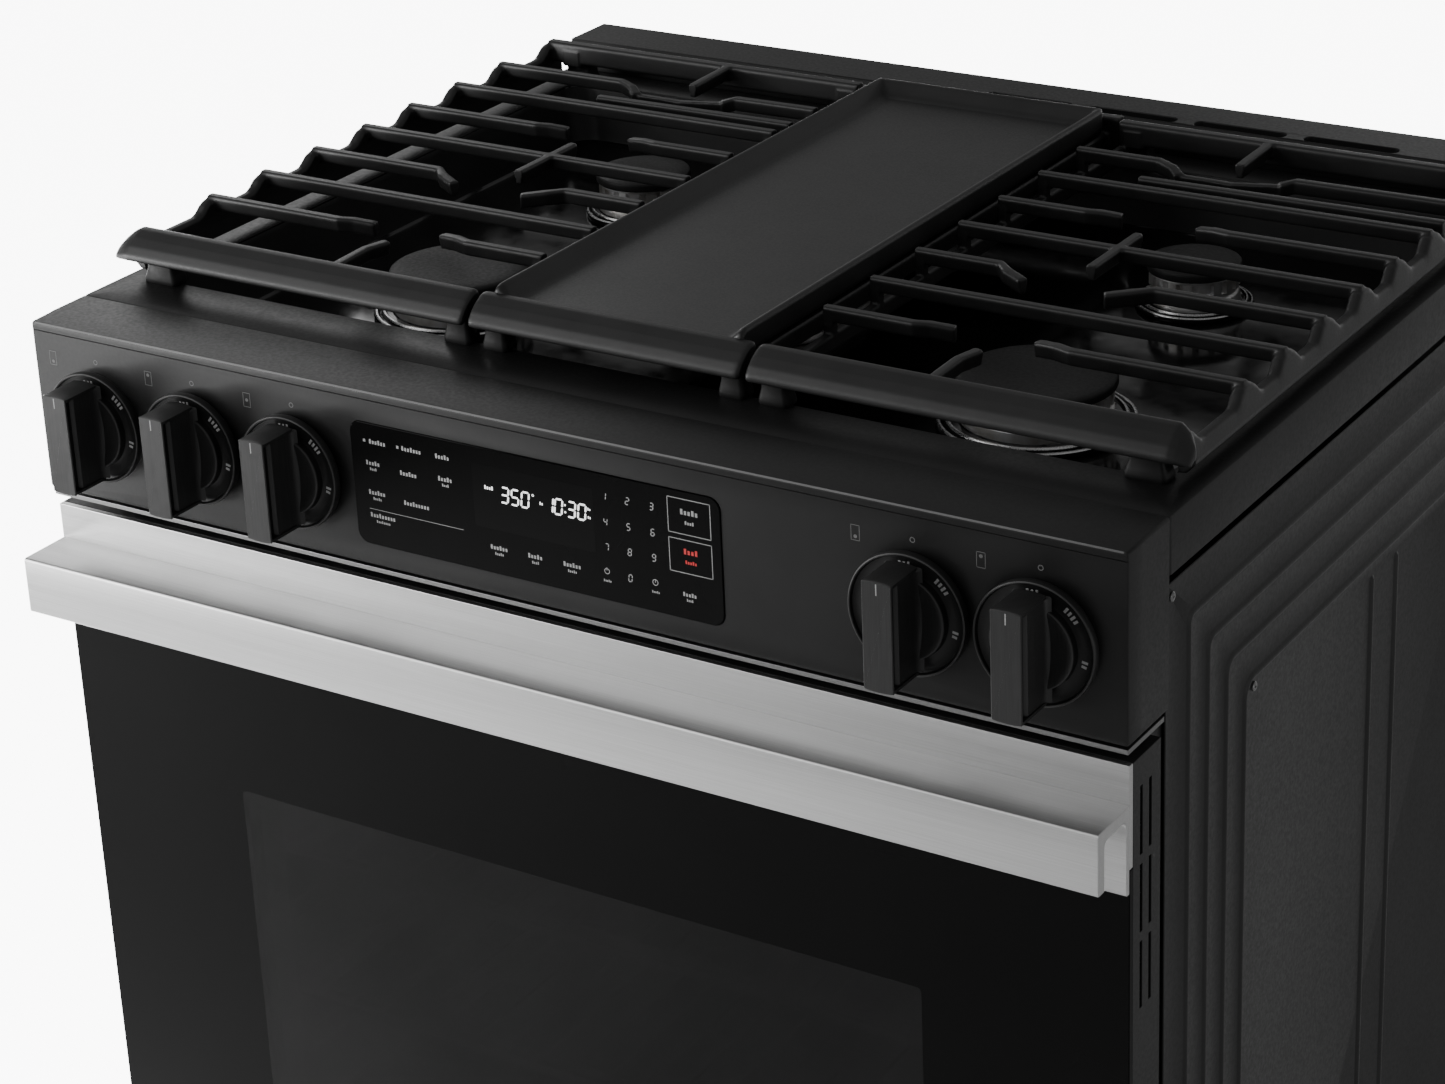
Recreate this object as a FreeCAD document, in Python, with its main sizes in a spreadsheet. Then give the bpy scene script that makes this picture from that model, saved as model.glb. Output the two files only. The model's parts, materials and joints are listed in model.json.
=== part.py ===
import FreeCAD, Part
import math
import os
import Sketcher
from FreeCAD import Placement, Rotation, Vector

# A 30-inch slide-in gas range: five burners with cast grates and a griddle, a front control
# panel with push-to-turn knobs, a convection oven with a drop-down door, and a storage drawer.
# Frame: +Z up, the door faces -Y, origin on the floor under the middle of the bounding box.

doc = FreeCAD.newDocument("GasRange")

DIMENSIONS = {
    # whole range
    "overall_width": 759,
    "body_width": 744,
    "top_height": 915,
    "front_face": -305,
    "rear_face": 345,
    "steel": 1.2,
    # control panel
    "panel_height": 114,
    "panel_depth": 48.5,
    "display_width": 259,
    "display_height": 78.8,
    "display_drop": 20.7,
    "display_radius": 8,
    "knob_drop": 61,
    "dial_radius": 33,
    "dial_standoff": 3.3,
    "dial_reach": 6.5,
    "label_ring_reach": 5,
    "hub_radius": 25,
    "hub_reach": 12.5,
    "knob_reach": 40,
    "stem_radius": 3,
    "running_gap": 0.05,
    "grip_width": 18.4,
    "grip_length": 65.5,
    # door
    "door_width": 756.6,
    "door_setback": 4.3,
    "door_depth": 37.7,
    "door_drop": 127,
    "door_bottom": 246,
    "glass_thickness": 4,
    "trim_drop": 190,
    "handle_drop": 150.5,
    "handle_reach": 33,
    "handle_height": 37.3,
    "handle_wall": 7.5,
    "hinge_inset": 18,
    "hinge_height": 254,
    "hinge_offset": 331,
    "pin_radius": 3,
    "window_width": 496.4,
    "window_top": 613.3,
    "window_bottom": 355,
    # drawer
    "drawer_top": 234,
    "drawer_bottom": 52,
    "drawer_width": 750,
    # oven
    "mouth_setback": 48,
    "cavity_width": 610,
    "cavity_bottom": 264,
    "cavity_top": 700,
    "cavity_depth": 478,
    "insulation": 28,
    "rack_pitch": 54,
    "lowest_rack": 359,
    "rack_wire": 3,
    "fan_height": 490,
    "fan_shaft_radius": 4,
    # cooktop
    "pan_front": 49,
    "pan_back": 594,
    "skirt": 34.5,
    "well_width": 702,
    "well_front": 95,
    "well_back": 566,
    "well_depth": 42,
    "well_radius": 16,
    "burner_offset": 211,
    "front_burner": 222,
    "rear_burner": 440,
    "centre_burner": 331,
    "trim_front": 595,
    "trim_back": 644,
    "trim_rise": 21,
    # services
    "gas_thread_radius": 9.2,
    "lead_radius": 5,
    # grates
    "grate_rise": 33,
    "bar_width": 7,
    "bar_depth": 10,
    "rail_front": 76,
    "rail_depth": 18,
    "side_gap": 100,
    "centre_half": 96,
    "griddle_half": 88,
    "griddle_rise": 39,
}

sheet = doc.addObject("Spreadsheet::Sheet", "Sizes")
for row, (alias, amount) in enumerate(DIMENSIONS.items(), start=1):
    sheet.set("A%d" % row, alias)
    sheet.set("B%d" % row, str(amount))
    sheet.setAlias("B%d" % row, alias)
doc.recompute()


class Size(float):
    """A length that remembers the spreadsheet expression it comes from."""

    def __new__(cls, amount, formula):
        size = super().__new__(cls, amount)
        size.formula = formula
        return size

    def __add__(self, other):
        return Size(float(self) + float(other), "(%s + %s)" % (self.formula, formula_of(other)))

    def __radd__(self, other):
        return Size(float(other) + float(self), "(%s + %s)" % (formula_of(other), self.formula))

    def __sub__(self, other):
        return Size(float(self) - float(other), "(%s - %s)" % (self.formula, formula_of(other)))

    def __rsub__(self, other):
        return Size(float(other) - float(self), "(%s - %s)" % (formula_of(other), self.formula))

    def __mul__(self, factor):
        return Size(float(self) * factor, "(%s * %s)" % (self.formula, repr(float(factor))))

    __rmul__ = __mul__

    def __truediv__(self, divisor):
        return Size(float(self) / divisor, "(%s / %s)" % (self.formula, repr(float(divisor))))

    def __neg__(self):
        return Size(-float(self), "(-%s)" % self.formula)


def formula_of(amount):
    return amount.formula if isinstance(amount, Size) else "(%s)" % repr(float(amount))


def bind(item, attribute, amount):
    item.setExpression(attribute, formula_of(amount))


class Sheet:
    """The driving dimensions as named sizes."""


size = Sheet()
for alias in DIMENSIONS:
    setattr(size, alias, Size(sheet.get(alias), "Sizes." + alias))

TOP = size.top_height
ALONG = {
    "x": Rotation(Vector(0, 1, 0), 90),
    "y": Rotation(Vector(1, 0, 0), -90),
    "z": Rotation(),
}
OUTWARD = Rotation(Vector(1, 0, 0), 90)
PLANES = {"x": ("YZ_Plane", 1), "y": ("XZ_Plane", -1), "z": ("XY_Plane", 1)}
LEFT = -1
RIGHT = 1
SIDES = ((LEFT, "left"), (RIGHT, "right"))
ENDS = ("front", "rear")
# gas and electricity come in low at the rear right
SERVICE_HEIGHT = 110
LEAD_OFFSET = 269
REGULATOR_RISE = 34
MANIFOLD_DROP = 78
DISPLAY_GAP = 0.4


def behind(distance):
    """Y of a point this far behind the control panel's front face."""
    return size.front_face + distance


def below(distance):
    """Z of a point this far below the cooktop's rim."""
    return TOP - distance


def above(distance):
    return TOP + distance


def across(half_width):
    """The X span of something centred on the range's middle plane."""
    return (-half_width, half_width)


def on_side(side, inner, outer):
    """The X span of something on the left or the right side."""
    return (inner, outer) if side == RIGHT else (-outer, -inner)


def move_to(item, x, y, z):
    for axis, amount in zip("xyz", (x, y, z)):
        bind(item, "Placement.Base." + axis, amount)


def block(name, x, y, z):
    """A rectangular solid between two limits on each axis."""
    solid = doc.addObject("Part::Box", name)
    for length, (low, high) in zip(("Length", "Width", "Height"), (x, y, z)):
        bind(solid, length, high - low)
    move_to(solid, x[0], y[0], z[0])
    return solid


def rod(name, along, radius, centre, span):
    """A round bar along an axis; centre gives its place on the other two axes, in X, Y, Z order."""
    solid = doc.addObject("Part::Cylinder", name)
    bind(solid, "Radius", radius)
    bind(solid, "Height", span[1] - span[0])
    solid.Placement = Placement(Vector(), ALONG[along])
    place = list(centre)
    place.insert("xyz".index(along), span[0])
    move_to(solid, *place)
    return solid


def fuse(name, *pieces):
    solid = doc.addObject("Part::MultiFuse", name)
    solid.Shapes = list(pieces)
    return solid


def cut(name, base, *tools):
    solid = doc.addObject("Part::Cut", name)
    solid.Base = base
    solid.Tool = tools[0] if len(tools) == 1 else fuse(name + "_openings", *tools)
    return solid


def group(name, *pieces):
    """Identical separate solids that share one node."""
    together = doc.addObject("Part::Compound", name)
    together.Links = list(pieces)
    return together


def sketch_on(body, along, name):
    role = PLANES[along][0]
    plane = next(item for item in body.Origin.OriginFeatures if item.Role == role)
    sketch = body.newObject("Sketcher::SketchObject", name)
    sketch.AttachmentSupport = [(plane, "")]
    sketch.MapMode = "FlatFace"
    return sketch


def draw(sketch, outline):
    """A closed outline of straight lines whose corners are bound to the sheet."""
    count = len(outline)
    for index in range(count):
        start = Vector(float(outline[index][0]), float(outline[index][1]), 0)
        end = Vector(float(outline[(index + 1) % count][0]), float(outline[(index + 1) % count][1]), 0)
        sketch.addGeometry(Part.LineSegment(start, end))
    for index in range(count):
        sketch.addConstraint(Sketcher.Constraint("Coincident", index, 2, (index + 1) % count, 1))
    for index, corner in enumerate(outline):
        for kind, amount in zip(("DistanceX", "DistanceY"), corner):
            number = sketch.addConstraint(Sketcher.Constraint(kind, -1, 1, index, 1, float(amount)))
            if isinstance(amount, Size):
                sketch.setExpression("Constraints[%d]" % number, amount.formula)


def prism(name, along, outline, span, rounding=None):
    """A PartDesign pad of an outline across an axis; rounding fillets the edges along it."""
    facing = PLANES[along][1]
    body = doc.addObject("PartDesign::Body", name)
    sketch = sketch_on(body, along, name + "_outline")
    bind(sketch, "AttachmentOffset.Base.z", span[0] * facing)
    draw(sketch, outline)
    pad = body.newObject("PartDesign::Pad", name + "_pad")
    pad.Profile = sketch
    pad.Reversed = facing < 0
    bind(pad, "Length", span[1] - span[0])
    if rounding is not None:
        doc.recompute()
        axis = ALONG[along].multVec(Vector(0, 0, 1))
        edges = [
            "Edge%d" % (number + 1)
            for number, edge in enumerate(pad.Shape.Edges)
            if abs(edge.tangentAt(edge.FirstParameter).dot(axis)) > 0.999
        ]
        fillet = body.newObject("PartDesign::Fillet", name + "_rounding")
        fillet.Base = (pad, edges)
        bind(fillet, "Radius", rounding)
        body.Tip = fillet
    return body


def rounded_block(name, x, y, z, radius, along="z"):
    """A block whose edges along one axis are rounded."""
    spans = {"x": (y, z), "y": (x, z), "z": (x, y)}
    first, second = spans[along]
    outline = [
        (first[0], second[0]),
        (first[1], second[0]),
        (first[1], second[1]),
        (first[0], second[1]),
    ]
    return prism(name, along, outline, {"x": x, "y": y, "z": z}[along], radius)


def turned(name, outline, facing=None):
    """A PartDesign revolution about Z; the outline's corners are (radius, height)."""
    body = doc.addObject("PartDesign::Body", name)
    sketch = sketch_on(body, "y", name + "_outline")
    draw(sketch, outline)
    revolution = body.newObject("PartDesign::Revolution", name + "_turning")
    revolution.Profile = sketch
    revolution.ReferenceAxis = (sketch, ["V_Axis"])
    revolution.Angle = 360
    if facing is not None:
        body.Placement = Placement(Vector(), facing)
    return body


def bent_tube(points, radius, bend):
    """A round tube of straight runs joined by tangent arcs."""
    corners = [Vector(*[float(amount) for amount in point]) for point in points]
    edges = []
    start = corners[0]
    for before, corner, after in zip(corners, corners[1:], corners[2:]):
        arriving = (corner - before).normalize()
        leaving = (after - corner).normalize()
        half_turn = arriving.getAngle(leaving) / 2
        setback = bend * math.tan(half_turn)
        arc_start = corner - arriving * setback
        arc_end = corner + leaving * setback
        inward = (leaving - arriving).normalize()
        middle = corner + inward * (bend / math.cos(half_turn) - bend)
        edges.append(Part.LineSegment(start, arc_start).toShape())
        edges.append(Part.Arc(arc_start, middle, arc_end).toShape())
        start = arc_end
    edges.append(Part.LineSegment(start, corners[-1]).toShape())
    ring = Part.Wire([Part.Circle(corners[0], corners[1] - corners[0], radius).toShape()])
    return Part.Wire(edges).makePipeShell([ring], True, True)


def finished(name, shape):
    """A node whose shape comes straight from Part's own functions."""
    feature = doc.addObject("Part::Feature", name)
    feature.Shape = shape
    return feature


# ---------------------------------------------------------------- cabinet

def side_panel(name, side):
    """Pressed steel side sheet with four nested beads and two upright ribs."""
    bead_rise = 1.5
    bead_width = 7
    bead_pitch = 25.2
    bead_count = 4
    rib_setbacks = (352, 391)
    outer = size.body_width / 2 - bead_rise
    front = behind(64)
    back = behind(640)
    bottom = TOP - 875
    top = below(49)
    sheet_blank = block(
        name + "_sheet", on_side(side, outer - size.steel, outer), (front, back), (bottom, top))
    raised = on_side(side, outer - size.steel, outer + bead_rise)
    beads = []
    for ring in range(bead_count):
        inset = bead_pitch * (ring + 1)
        label = "%s_bead_%d" % (name, ring + 1)
        y_limits = (front + inset, back - inset)
        z_limits = (bottom + inset, top - inset)
        blank = block(label + "_blank", raised, y_limits, z_limits)
        field = block(
            label + "_field", on_side(side, outer, outer + bead_rise * 2),
            (y_limits[0] + bead_width, y_limits[1] - bead_width),
            (z_limits[0] + bead_width, z_limits[1] - bead_width))
        beads.append(cut(label, blank, field))
    for number, setback in enumerate(rib_setbacks):
        beads.append(block(
            "%s_rib_%d" % (name, number + 1), raised, (behind(setback), behind(setback) + bead_width),
            (bottom + 120, top - 113)))
    return fuse(name, sheet_blank, *beads)


def chassis():
    """Welded frame: base channels, corner posts, top rails, oven front and hinge ears."""
    post = 18
    base_width = 38
    outer = size.body_width / 2 - 4
    base = (40, 62)
    post_rise = (40, below(60))
    top_rail = (below(85), below(60))
    drawer_rail = (size.drawer_bottom + 88, size.drawer_bottom + 97.7)
    cross_depth = 24
    rails = []
    for side, word in SIDES:
        spot = "chassis_" + word
        rails.append(block(
            spot + "_base", on_side(side, outer - base_width, outer), (behind(56), behind(632)), base))
        for end, setback in (("front", 50), ("rear", 612)):
            rails.append(block(
                "%s_%s_post" % (spot, end), on_side(side, outer - post, outer),
                (behind(setback), behind(setback + post)), post_rise))
        rails.append(block(
            spot + "_top_rail", on_side(side, outer - post, outer), (behind(60), behind(620)), top_rail))
        rails.append(block(
            spot + "_drawer_rail", on_side(side, size.hinge_offset - 9, outer), (behind(60), behind(560)),
            drawer_rail))
    for end, setback in (("front", 56), ("rear", 608)):
        rails.append(block(
            "chassis_%s_cross" % end, across(outer - base_width),
            (behind(setback), behind(setback + cross_depth)), base))
    rails.append(oven_front())
    for side, word in SIDES:
        rails.append(hinge_ear(side, word))
    sockets = [
        rod("foot_socket_" + word, "z", 5.3, (x, y), (30, 70))
        for word, x, y in foot_spots()
    ]
    return cut("chassis", fuse("chassis_weldment", *rails), *sockets)


def oven_front():
    """Flat plate that frames the oven's mouth."""
    plate = 2
    mouth = behind(size.mouth_setback)
    face = block(
        "chassis_face_blank", across(size.body_width / 2 - 3), (mouth, mouth + plate),
        (size.door_bottom - 6, below(118)))
    opening = block(
        "chassis_face_opening", across(size.cavity_width / 2), (mouth - 1, mouth + plate + 1),
        (size.cavity_bottom, size.cavity_top))
    return cut("chassis_face", face, opening)


def hinge_ear(side, word):
    """Lug on the oven front with the eye that a door hinge pin turns in."""
    half_width = 2
    half_height = 6
    span = on_side(side, size.hinge_offset - half_width, size.hinge_offset + half_width)
    axis = (behind(size.hinge_inset), size.hinge_height)
    arm = block(
        "hinge_ear_%s_arm" % word, span, (axis[0], behind(size.mouth_setback) + 1),
        (size.hinge_height - half_height, size.hinge_height + half_height))
    boss = rod("hinge_ear_%s_boss" % word, "x", half_height, axis, span)
    eye = rod(
        "hinge_ear_%s_eye" % word, "x", size.pin_radius + size.running_gap, axis, (span[0] - 1, span[1] + 1))
    return cut("hinge_ear_" + word, fuse("hinge_ear_%s_blank" % word, arm, boss), eye)


def foot_spots():
    """Name, X and Y of the four levelling feet, under the middles of the base channels."""
    offset = size.body_width / 2 - 23
    return [
        ("%s_%s" % (word, end), side * offset, behind(setback))
        for side, word in SIDES
        for end, setback in (("front", 90), ("rear", 590))
    ]


def levelling_feet():
    """Four screw feet, one under each corner of the base channels."""
    profile = [
        (0, 0), (16, 0), (18, 3), (18, 9), (8, 12), (8, 20), (5, 20), (5, 56), (0, 56)]
    feet = []
    for word, x, y in foot_spots():
        foot = turned("foot_" + word, profile)
        move_to(foot, x, y, 0)
        feet.append(foot)
    return group("levelling_feet", *feet)


def rear_cover():
    """Rear sheet with a raised fan housing, cooling louvres and the service holes."""
    front = behind(640.3)
    back = front + size.steel
    through = (front - 3, back + 3)
    housing_half = 150
    housing = (TOP - 535, TOP - 295)
    columns = 4
    lines = 5
    column_pitch = 160
    line_pitch = 18
    louvre_width = 120
    louvre_height = 6
    blank = fuse(
        "rear_cover_blank",
        block("rear_cover_sheet", across(size.body_width / 2 - 4), (front, back), (TOP - 853, below(38))),
        block("rear_cover_housing", across(housing_half), (front, size.rear_face), housing),
    )
    hollow = block(
        "rear_cover_hollow", across(housing_half - 2), (front - 5, size.rear_face - size.steel),
        (housing[0] + 2, housing[1] - 2))
    gas_hole = rod("rear_cover_gas_hole", "y", 24, (size.hinge_offset, SERVICE_HEIGHT), through)
    lead_hole = rod("rear_cover_lead_hole", "y", 9, (LEAD_OFFSET, SERVICE_HEIGHT), through)
    louvres = []
    for column in range(columns):
        left = -300 + column_pitch * column
        for line in range(lines):
            high = below(84 + line_pitch * line)
            louvres.append(block(
                "louvre_%d_%d" % (column, line), (left, left + louvre_width), through,
                (high - louvre_height, high)))
    return cut("rear_cover", blank, hollow, gas_hole, lead_hole, *louvres)


def body_screws():
    """Small pan-head screws that hold the side sheets on."""
    head_radius = 3
    head_height = 1.4
    seat = size.body_width / 2 - 1.5
    spots = ((70.5, 57.4), (180.7, 161), (70.5, 820), (630, 57.4), (630, 820))
    screws = [
        rod("screw_%s_%d" % (word, number + 1), "x", head_radius, (behind(setback), below(drop)),
            on_side(side, seat, seat + head_height))
        for side, word in SIDES
        for number, (setback, drop) in enumerate(spots)
    ]
    return group("body_screws", *screws)


# ---------------------------------------------------------------- oven

RACK_LEVELS = 6
BAKE_HEIGHT = 279
BAKE_HALF = 60
BROIL_HEIGHT = 684
BROIL_HALF = 80
LAMP_SPOT = (-230, 650)
FLUE_LEFT = 64
FLUE_RIGHT = 176


def oven_openings(prefix, depth_span, rise_span, grow):
    """Holes through the oven's rear and top walls for the fan, burners, lamp and flue."""
    shaft_hole = 12
    lamp_hole = 20
    fan = rod(prefix + "_fan_hole", "y", shaft_hole + grow, (0, size.fan_height), depth_span)
    bake = rod(prefix + "_bake_hole", "y", shaft_hole + grow, (-BAKE_HALF, BAKE_HEIGHT), depth_span)
    broil = rod(prefix + "_broil_hole", "y", shaft_hole + grow, (-BROIL_HALF, BROIL_HEIGHT), depth_span)
    lamp = rod(prefix + "_lamp_hole", "y", lamp_hole + grow, LAMP_SPOT, depth_span)
    flue = block(
        prefix + "_flue_hole", (FLUE_LEFT - 2 - grow, FLUE_RIGHT + 2 + grow),
        (behind(482 - grow), behind(504 + grow)), rise_span)
    return [fan, bake, broil, lamp, flue]


def oven_cavity():
    """Enamelled oven box, open at the front, with pressed ledges for the racks."""
    half = size.cavity_width / 2
    front = behind(size.mouth_setback + 2)
    back = front + size.cavity_depth
    wall = size.steel
    ledge_width = 16
    ledge_drop = 7
    shell = cut(
        "cavity_shell",
        block("cavity_outside", across(half + wall), (front, back + wall),
              (size.cavity_bottom - wall, size.cavity_top + wall)),
        block("cavity_inside", across(half), (front - 1, back), (size.cavity_bottom, size.cavity_top)),
    )
    ledges = []
    for side, word in SIDES:
        for level in range(RACK_LEVELS):
            wire_height = size.lowest_rack + size.rack_pitch * level
            ledges.append(block(
                "rack_ledge_%s_%d" % (word, level + 1), on_side(side, half - ledge_width, half),
                (front + 8, back - 24), (wire_height - ledge_drop, wire_height - size.rack_wire - 0.3)))
    openings = oven_openings("cavity", (back - 5, back + 5), (size.cavity_top - 5, size.cavity_top + 5), 0)
    return cut("oven_cavity", fuse("cavity_with_ledges", shell, *ledges), *openings)


def oven_insulation():
    """Mineral-wool jacket around the oven box."""
    half = size.cavity_width / 2 + size.steel
    front = behind(size.mouth_setback + 3)
    back = behind(size.mouth_setback + 2) + size.cavity_depth + size.steel
    low = size.cavity_bottom - size.steel
    high = size.cavity_top + size.steel
    thinner_below = 8
    hole_growth = 2
    jacket = block(
        "insulation_outside", across(half + size.insulation), (front, back + size.insulation),
        (low - size.insulation + thinner_below, high + size.insulation))
    room = block("insulation_inside", across(half), (front - 1, back), (low, high))
    openings = oven_openings(
        "insulation", (back - 5, back + size.insulation + 5), (high - 5, high + size.insulation + 5),
        hole_growth)
    return cut("oven_insulation", jacket, room, *openings)


def oven_gasket():
    """Woven seal around the oven mouth."""
    half = size.cavity_width / 2
    span = (behind(44.2), behind(size.mouth_setback))
    outside = rounded_block(
        "gasket_outside", across(half + 15), span, (size.cavity_bottom - 12, size.cavity_top + 14), 18,
        "y")
    inside = rounded_block(
        "gasket_inside", across(half + 5), (span[0] - 1, span[1] + 1),
        (size.cavity_bottom - 3, size.cavity_top + 5), 8, "y")
    return cut("oven_gasket", outside, inside)


def oven_floor():
    """Lift-out floor plate over the bake burner, slotted along both sides."""
    height = size.cavity_bottom + 32
    thickness = 1.5
    slots_a_side = 8
    slot_pitch = 52
    slot_width = 8
    plate = block(
        "floor_plate", across(size.cavity_width / 2 - 2), (behind(58), behind(520)),
        (height, height + thickness))
    slots = []
    for side, word in SIDES:
        for number in range(slots_a_side):
            front = behind(90 + slot_pitch * number)
            slots.append(block(
                "floor_slot_%s_%d" % (word, number + 1), on_side(side, 255, 285), (front, front + slot_width),
                (height - 1, height + thickness + 1)))
    return cut("oven_floor", plate, *slots)


def oven_burners():
    """Looped tube burners: bake under the floor plate, broil under the oven's roof."""
    def loop(half_width, height, front, back, radius, bend):
        return bent_tube([
            (-half_width, behind(548), height), (-half_width, behind(front), height),
            (half_width, behind(front), height), (half_width, behind(back), height)], radius, bend)

    bake = loop(BAKE_HALF, BAKE_HEIGHT, 120, 480, 10, 30)
    broil = loop(BROIL_HALF, BROIL_HEIGHT, 130, 470, 9, 40)
    return finished("oven_burners", Part.Compound([bake, broil]))


def fan_cover():
    """Pressed cover over the convection fan, pierced with intake slots."""
    half = 118
    depth = 30
    slot_count = 12
    slot_pitch = 12
    slot_height = 5
    lowest_slot = size.fan_height - 66
    back = behind(size.mouth_setback + 2) + size.cavity_depth - 0.2
    front = back - depth
    inner_half = half - size.steel
    shell = cut(
        "fan_cover_shell",
        block("fan_cover_outside", across(half), (front, back),
              (size.fan_height - half, size.fan_height + half)),
        block("fan_cover_inside", across(inner_half), (front + size.steel, back + 1),
              (size.fan_height - inner_half, size.fan_height + inner_half)),
    )
    slots = []
    for number in range(slot_count):
        low = lowest_slot + slot_pitch * number
        slots.append(block(
            "fan_cover_slot_%d" % number, across(half - 40), (front - 1, front + 3),
            (low, low + slot_height)))
    return cut("fan_cover", shell, *slots)


def fan_rotor():
    """Convection fan: six vanes on a hub and the shaft that runs in the motor."""
    vane_count = 6
    vane_depth = 12
    vane_length = 54
    vane_foot = size.fan_height + 8
    pieces = [
        rod("fan_hub", "y", 12, (0, size.fan_height), (behind(506), behind(520))),
        rod("fan_shaft", "y", size.fan_shaft_radius, (0, size.fan_height), (behind(510), behind(576))),
    ]
    hub_centre = Vector(0, 0, float(size.fan_height))
    upright = Placement(Vector(float(-size.steel), float(behind(507)), float(vane_foot)), Rotation())
    for number in range(vane_count):
        vane = doc.addObject("Part::Box", "fan_vane_%d" % (number + 1))
        bind(vane, "Length", size.steel * 2)
        bind(vane, "Width", vane_depth)
        bind(vane, "Height", vane_length)
        turn = Placement(Vector(), Rotation(Vector(0, 1, 0), 360 / vane_count * number), hub_centre)
        vane.Placement = turn.multiply(upright)
        pieces.append(vane)
    return fuse("fan_rotor", *pieces)


def fan_motor():
    """Shaded-pole motor behind the insulation, with a running bore for the fan shaft."""
    case = rod("motor_case", "y", 36, (0, size.fan_height), (behind(560), behind(602)))
    flange = block(
        "motor_bracket", across(60), (behind(557.5), behind(560)),
        (size.fan_height - 20, size.fan_height + 20))
    bore = rod(
        "motor_bore", "y", size.fan_shaft_radius + size.running_gap, (0, size.fan_height),
        (behind(550), behind(578)))
    return cut("fan_motor", fuse("motor_blank", case, flange), bore)


def oven_lamp():
    """Glass-domed lamp in the oven's rear wall."""
    return fuse(
        "oven_lamp",
        rod("lamp_holder", "y", 17, LAMP_SPOT, (behind(522), behind(562))),
        rod("lamp_dome", "y", 19, LAMP_SPOT, (behind(512), behind(527))),
    )


def flue_duct():
    """Sheet duct from the oven's roof, back under the cooktop and up to the rear vents."""
    low = size.cavity_top + size.steel + size.insulation
    run_height = 30
    left = 48
    right = 282
    back = behind(619)

    def passage(name, inset):
        return fuse(
            name,
            block(name + "_rise", (FLUE_LEFT + inset, FLUE_RIGHT - inset),
                  (behind(484 + inset), behind(502 - inset)), (size.cavity_top - inset, low + 10)),
            block(name + "_run", (left + inset, right - inset), (behind(478 + inset), back - inset),
                  (low + inset, low + run_height - inset)),
            block(name + "_stack", (left + inset, right - inset), (behind(598 + inset), back - inset),
                  (low + inset, above(8) + inset)),
        )

    return cut("flue_duct", passage("flue_outside", 0), passage("flue_inside", size.steel))


# ---------------------------------------------------------------- cooktop

BURNERS = {
    "front_left": (-size.burner_offset, size.front_burner, 1.0),
    "rear_left": (-size.burner_offset, size.rear_burner, 0.72),
    "front_right": (size.burner_offset, size.front_burner, 1.05),
    "rear_right": (size.burner_offset, size.rear_burner, 0.66),
}
BURNER_RING = 56
OVAL_LENGTH = 96
HEAD_BASE = 30
CAP_BASE = 17
CAP_TOP = 10


def oval(name, radius, rise_span):
    """Upright racetrack column for the long centre burner."""
    centre = behind(size.centre_burner)
    half = OVAL_LENGTH / 2
    return rounded_block(
        name, (-radius, radius), (centre - half - radius, centre + half + radius), rise_span, radius - 0.01)


def cooktop_pan():
    """Pressed enamel top: flat rim, turned-down skirt and a sunken well with burner holes."""
    wall = size.steel
    half = size.overall_width / 2
    throat = 24
    electrode_hole = 4
    y_span = (behind(size.pan_front), behind(size.pan_back))
    tray = cut(
        "pan_tray",
        block("pan_tray_outside", across(half), y_span, (below(size.skirt), TOP)),
        block(
            "pan_tray_inside", across(half - wall), (y_span[0] + wall, y_span[1] - wall),
            (below(size.skirt + 1), below(wall))),
    )
    well_half = size.well_width / 2
    well = (behind(size.well_front), behind(size.well_back))
    bowl = rounded_block(
        "pan_bowl", across(well_half + wall), (well[0] - wall, well[1] + wall),
        (below(size.well_depth + wall), below(wall / 2)), size.well_radius + wall)
    hollow = rounded_block(
        "pan_hollow", across(well_half), well, (below(size.well_depth), above(1)), size.well_radius)
    depth_span = (below(size.well_depth + 3), below(size.well_depth - 3))
    holes = [
        rod("pan_hole_" + word, "z", throat * scale, (x, behind(setback)), depth_span)
        for word, (x, setback, scale) in BURNERS.items()
    ]
    holes.append(oval("pan_hole_centre", 16, depth_span))
    for word, x, y in igniter_spots():
        holes.append(rod("pan_igniter_hole_" + word, "z", electrode_hole, (x, y), depth_span))
    return cut("cooktop_pan", fuse("pan_blank", tray, bowl), hollow, *holes)


def igniter_spots():
    """Name, X and Y of the spark electrode behind and left of each burner."""
    clearance = 7
    spots = []
    for word, (x, setback, scale) in BURNERS.items():
        away = (BURNER_RING * scale + clearance) * math.sqrt(0.5)
        spots.append((word, x - away, behind(setback) + away))
    spots.append(("centre", 34, behind(size.centre_burner + 20)))
    return spots


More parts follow.
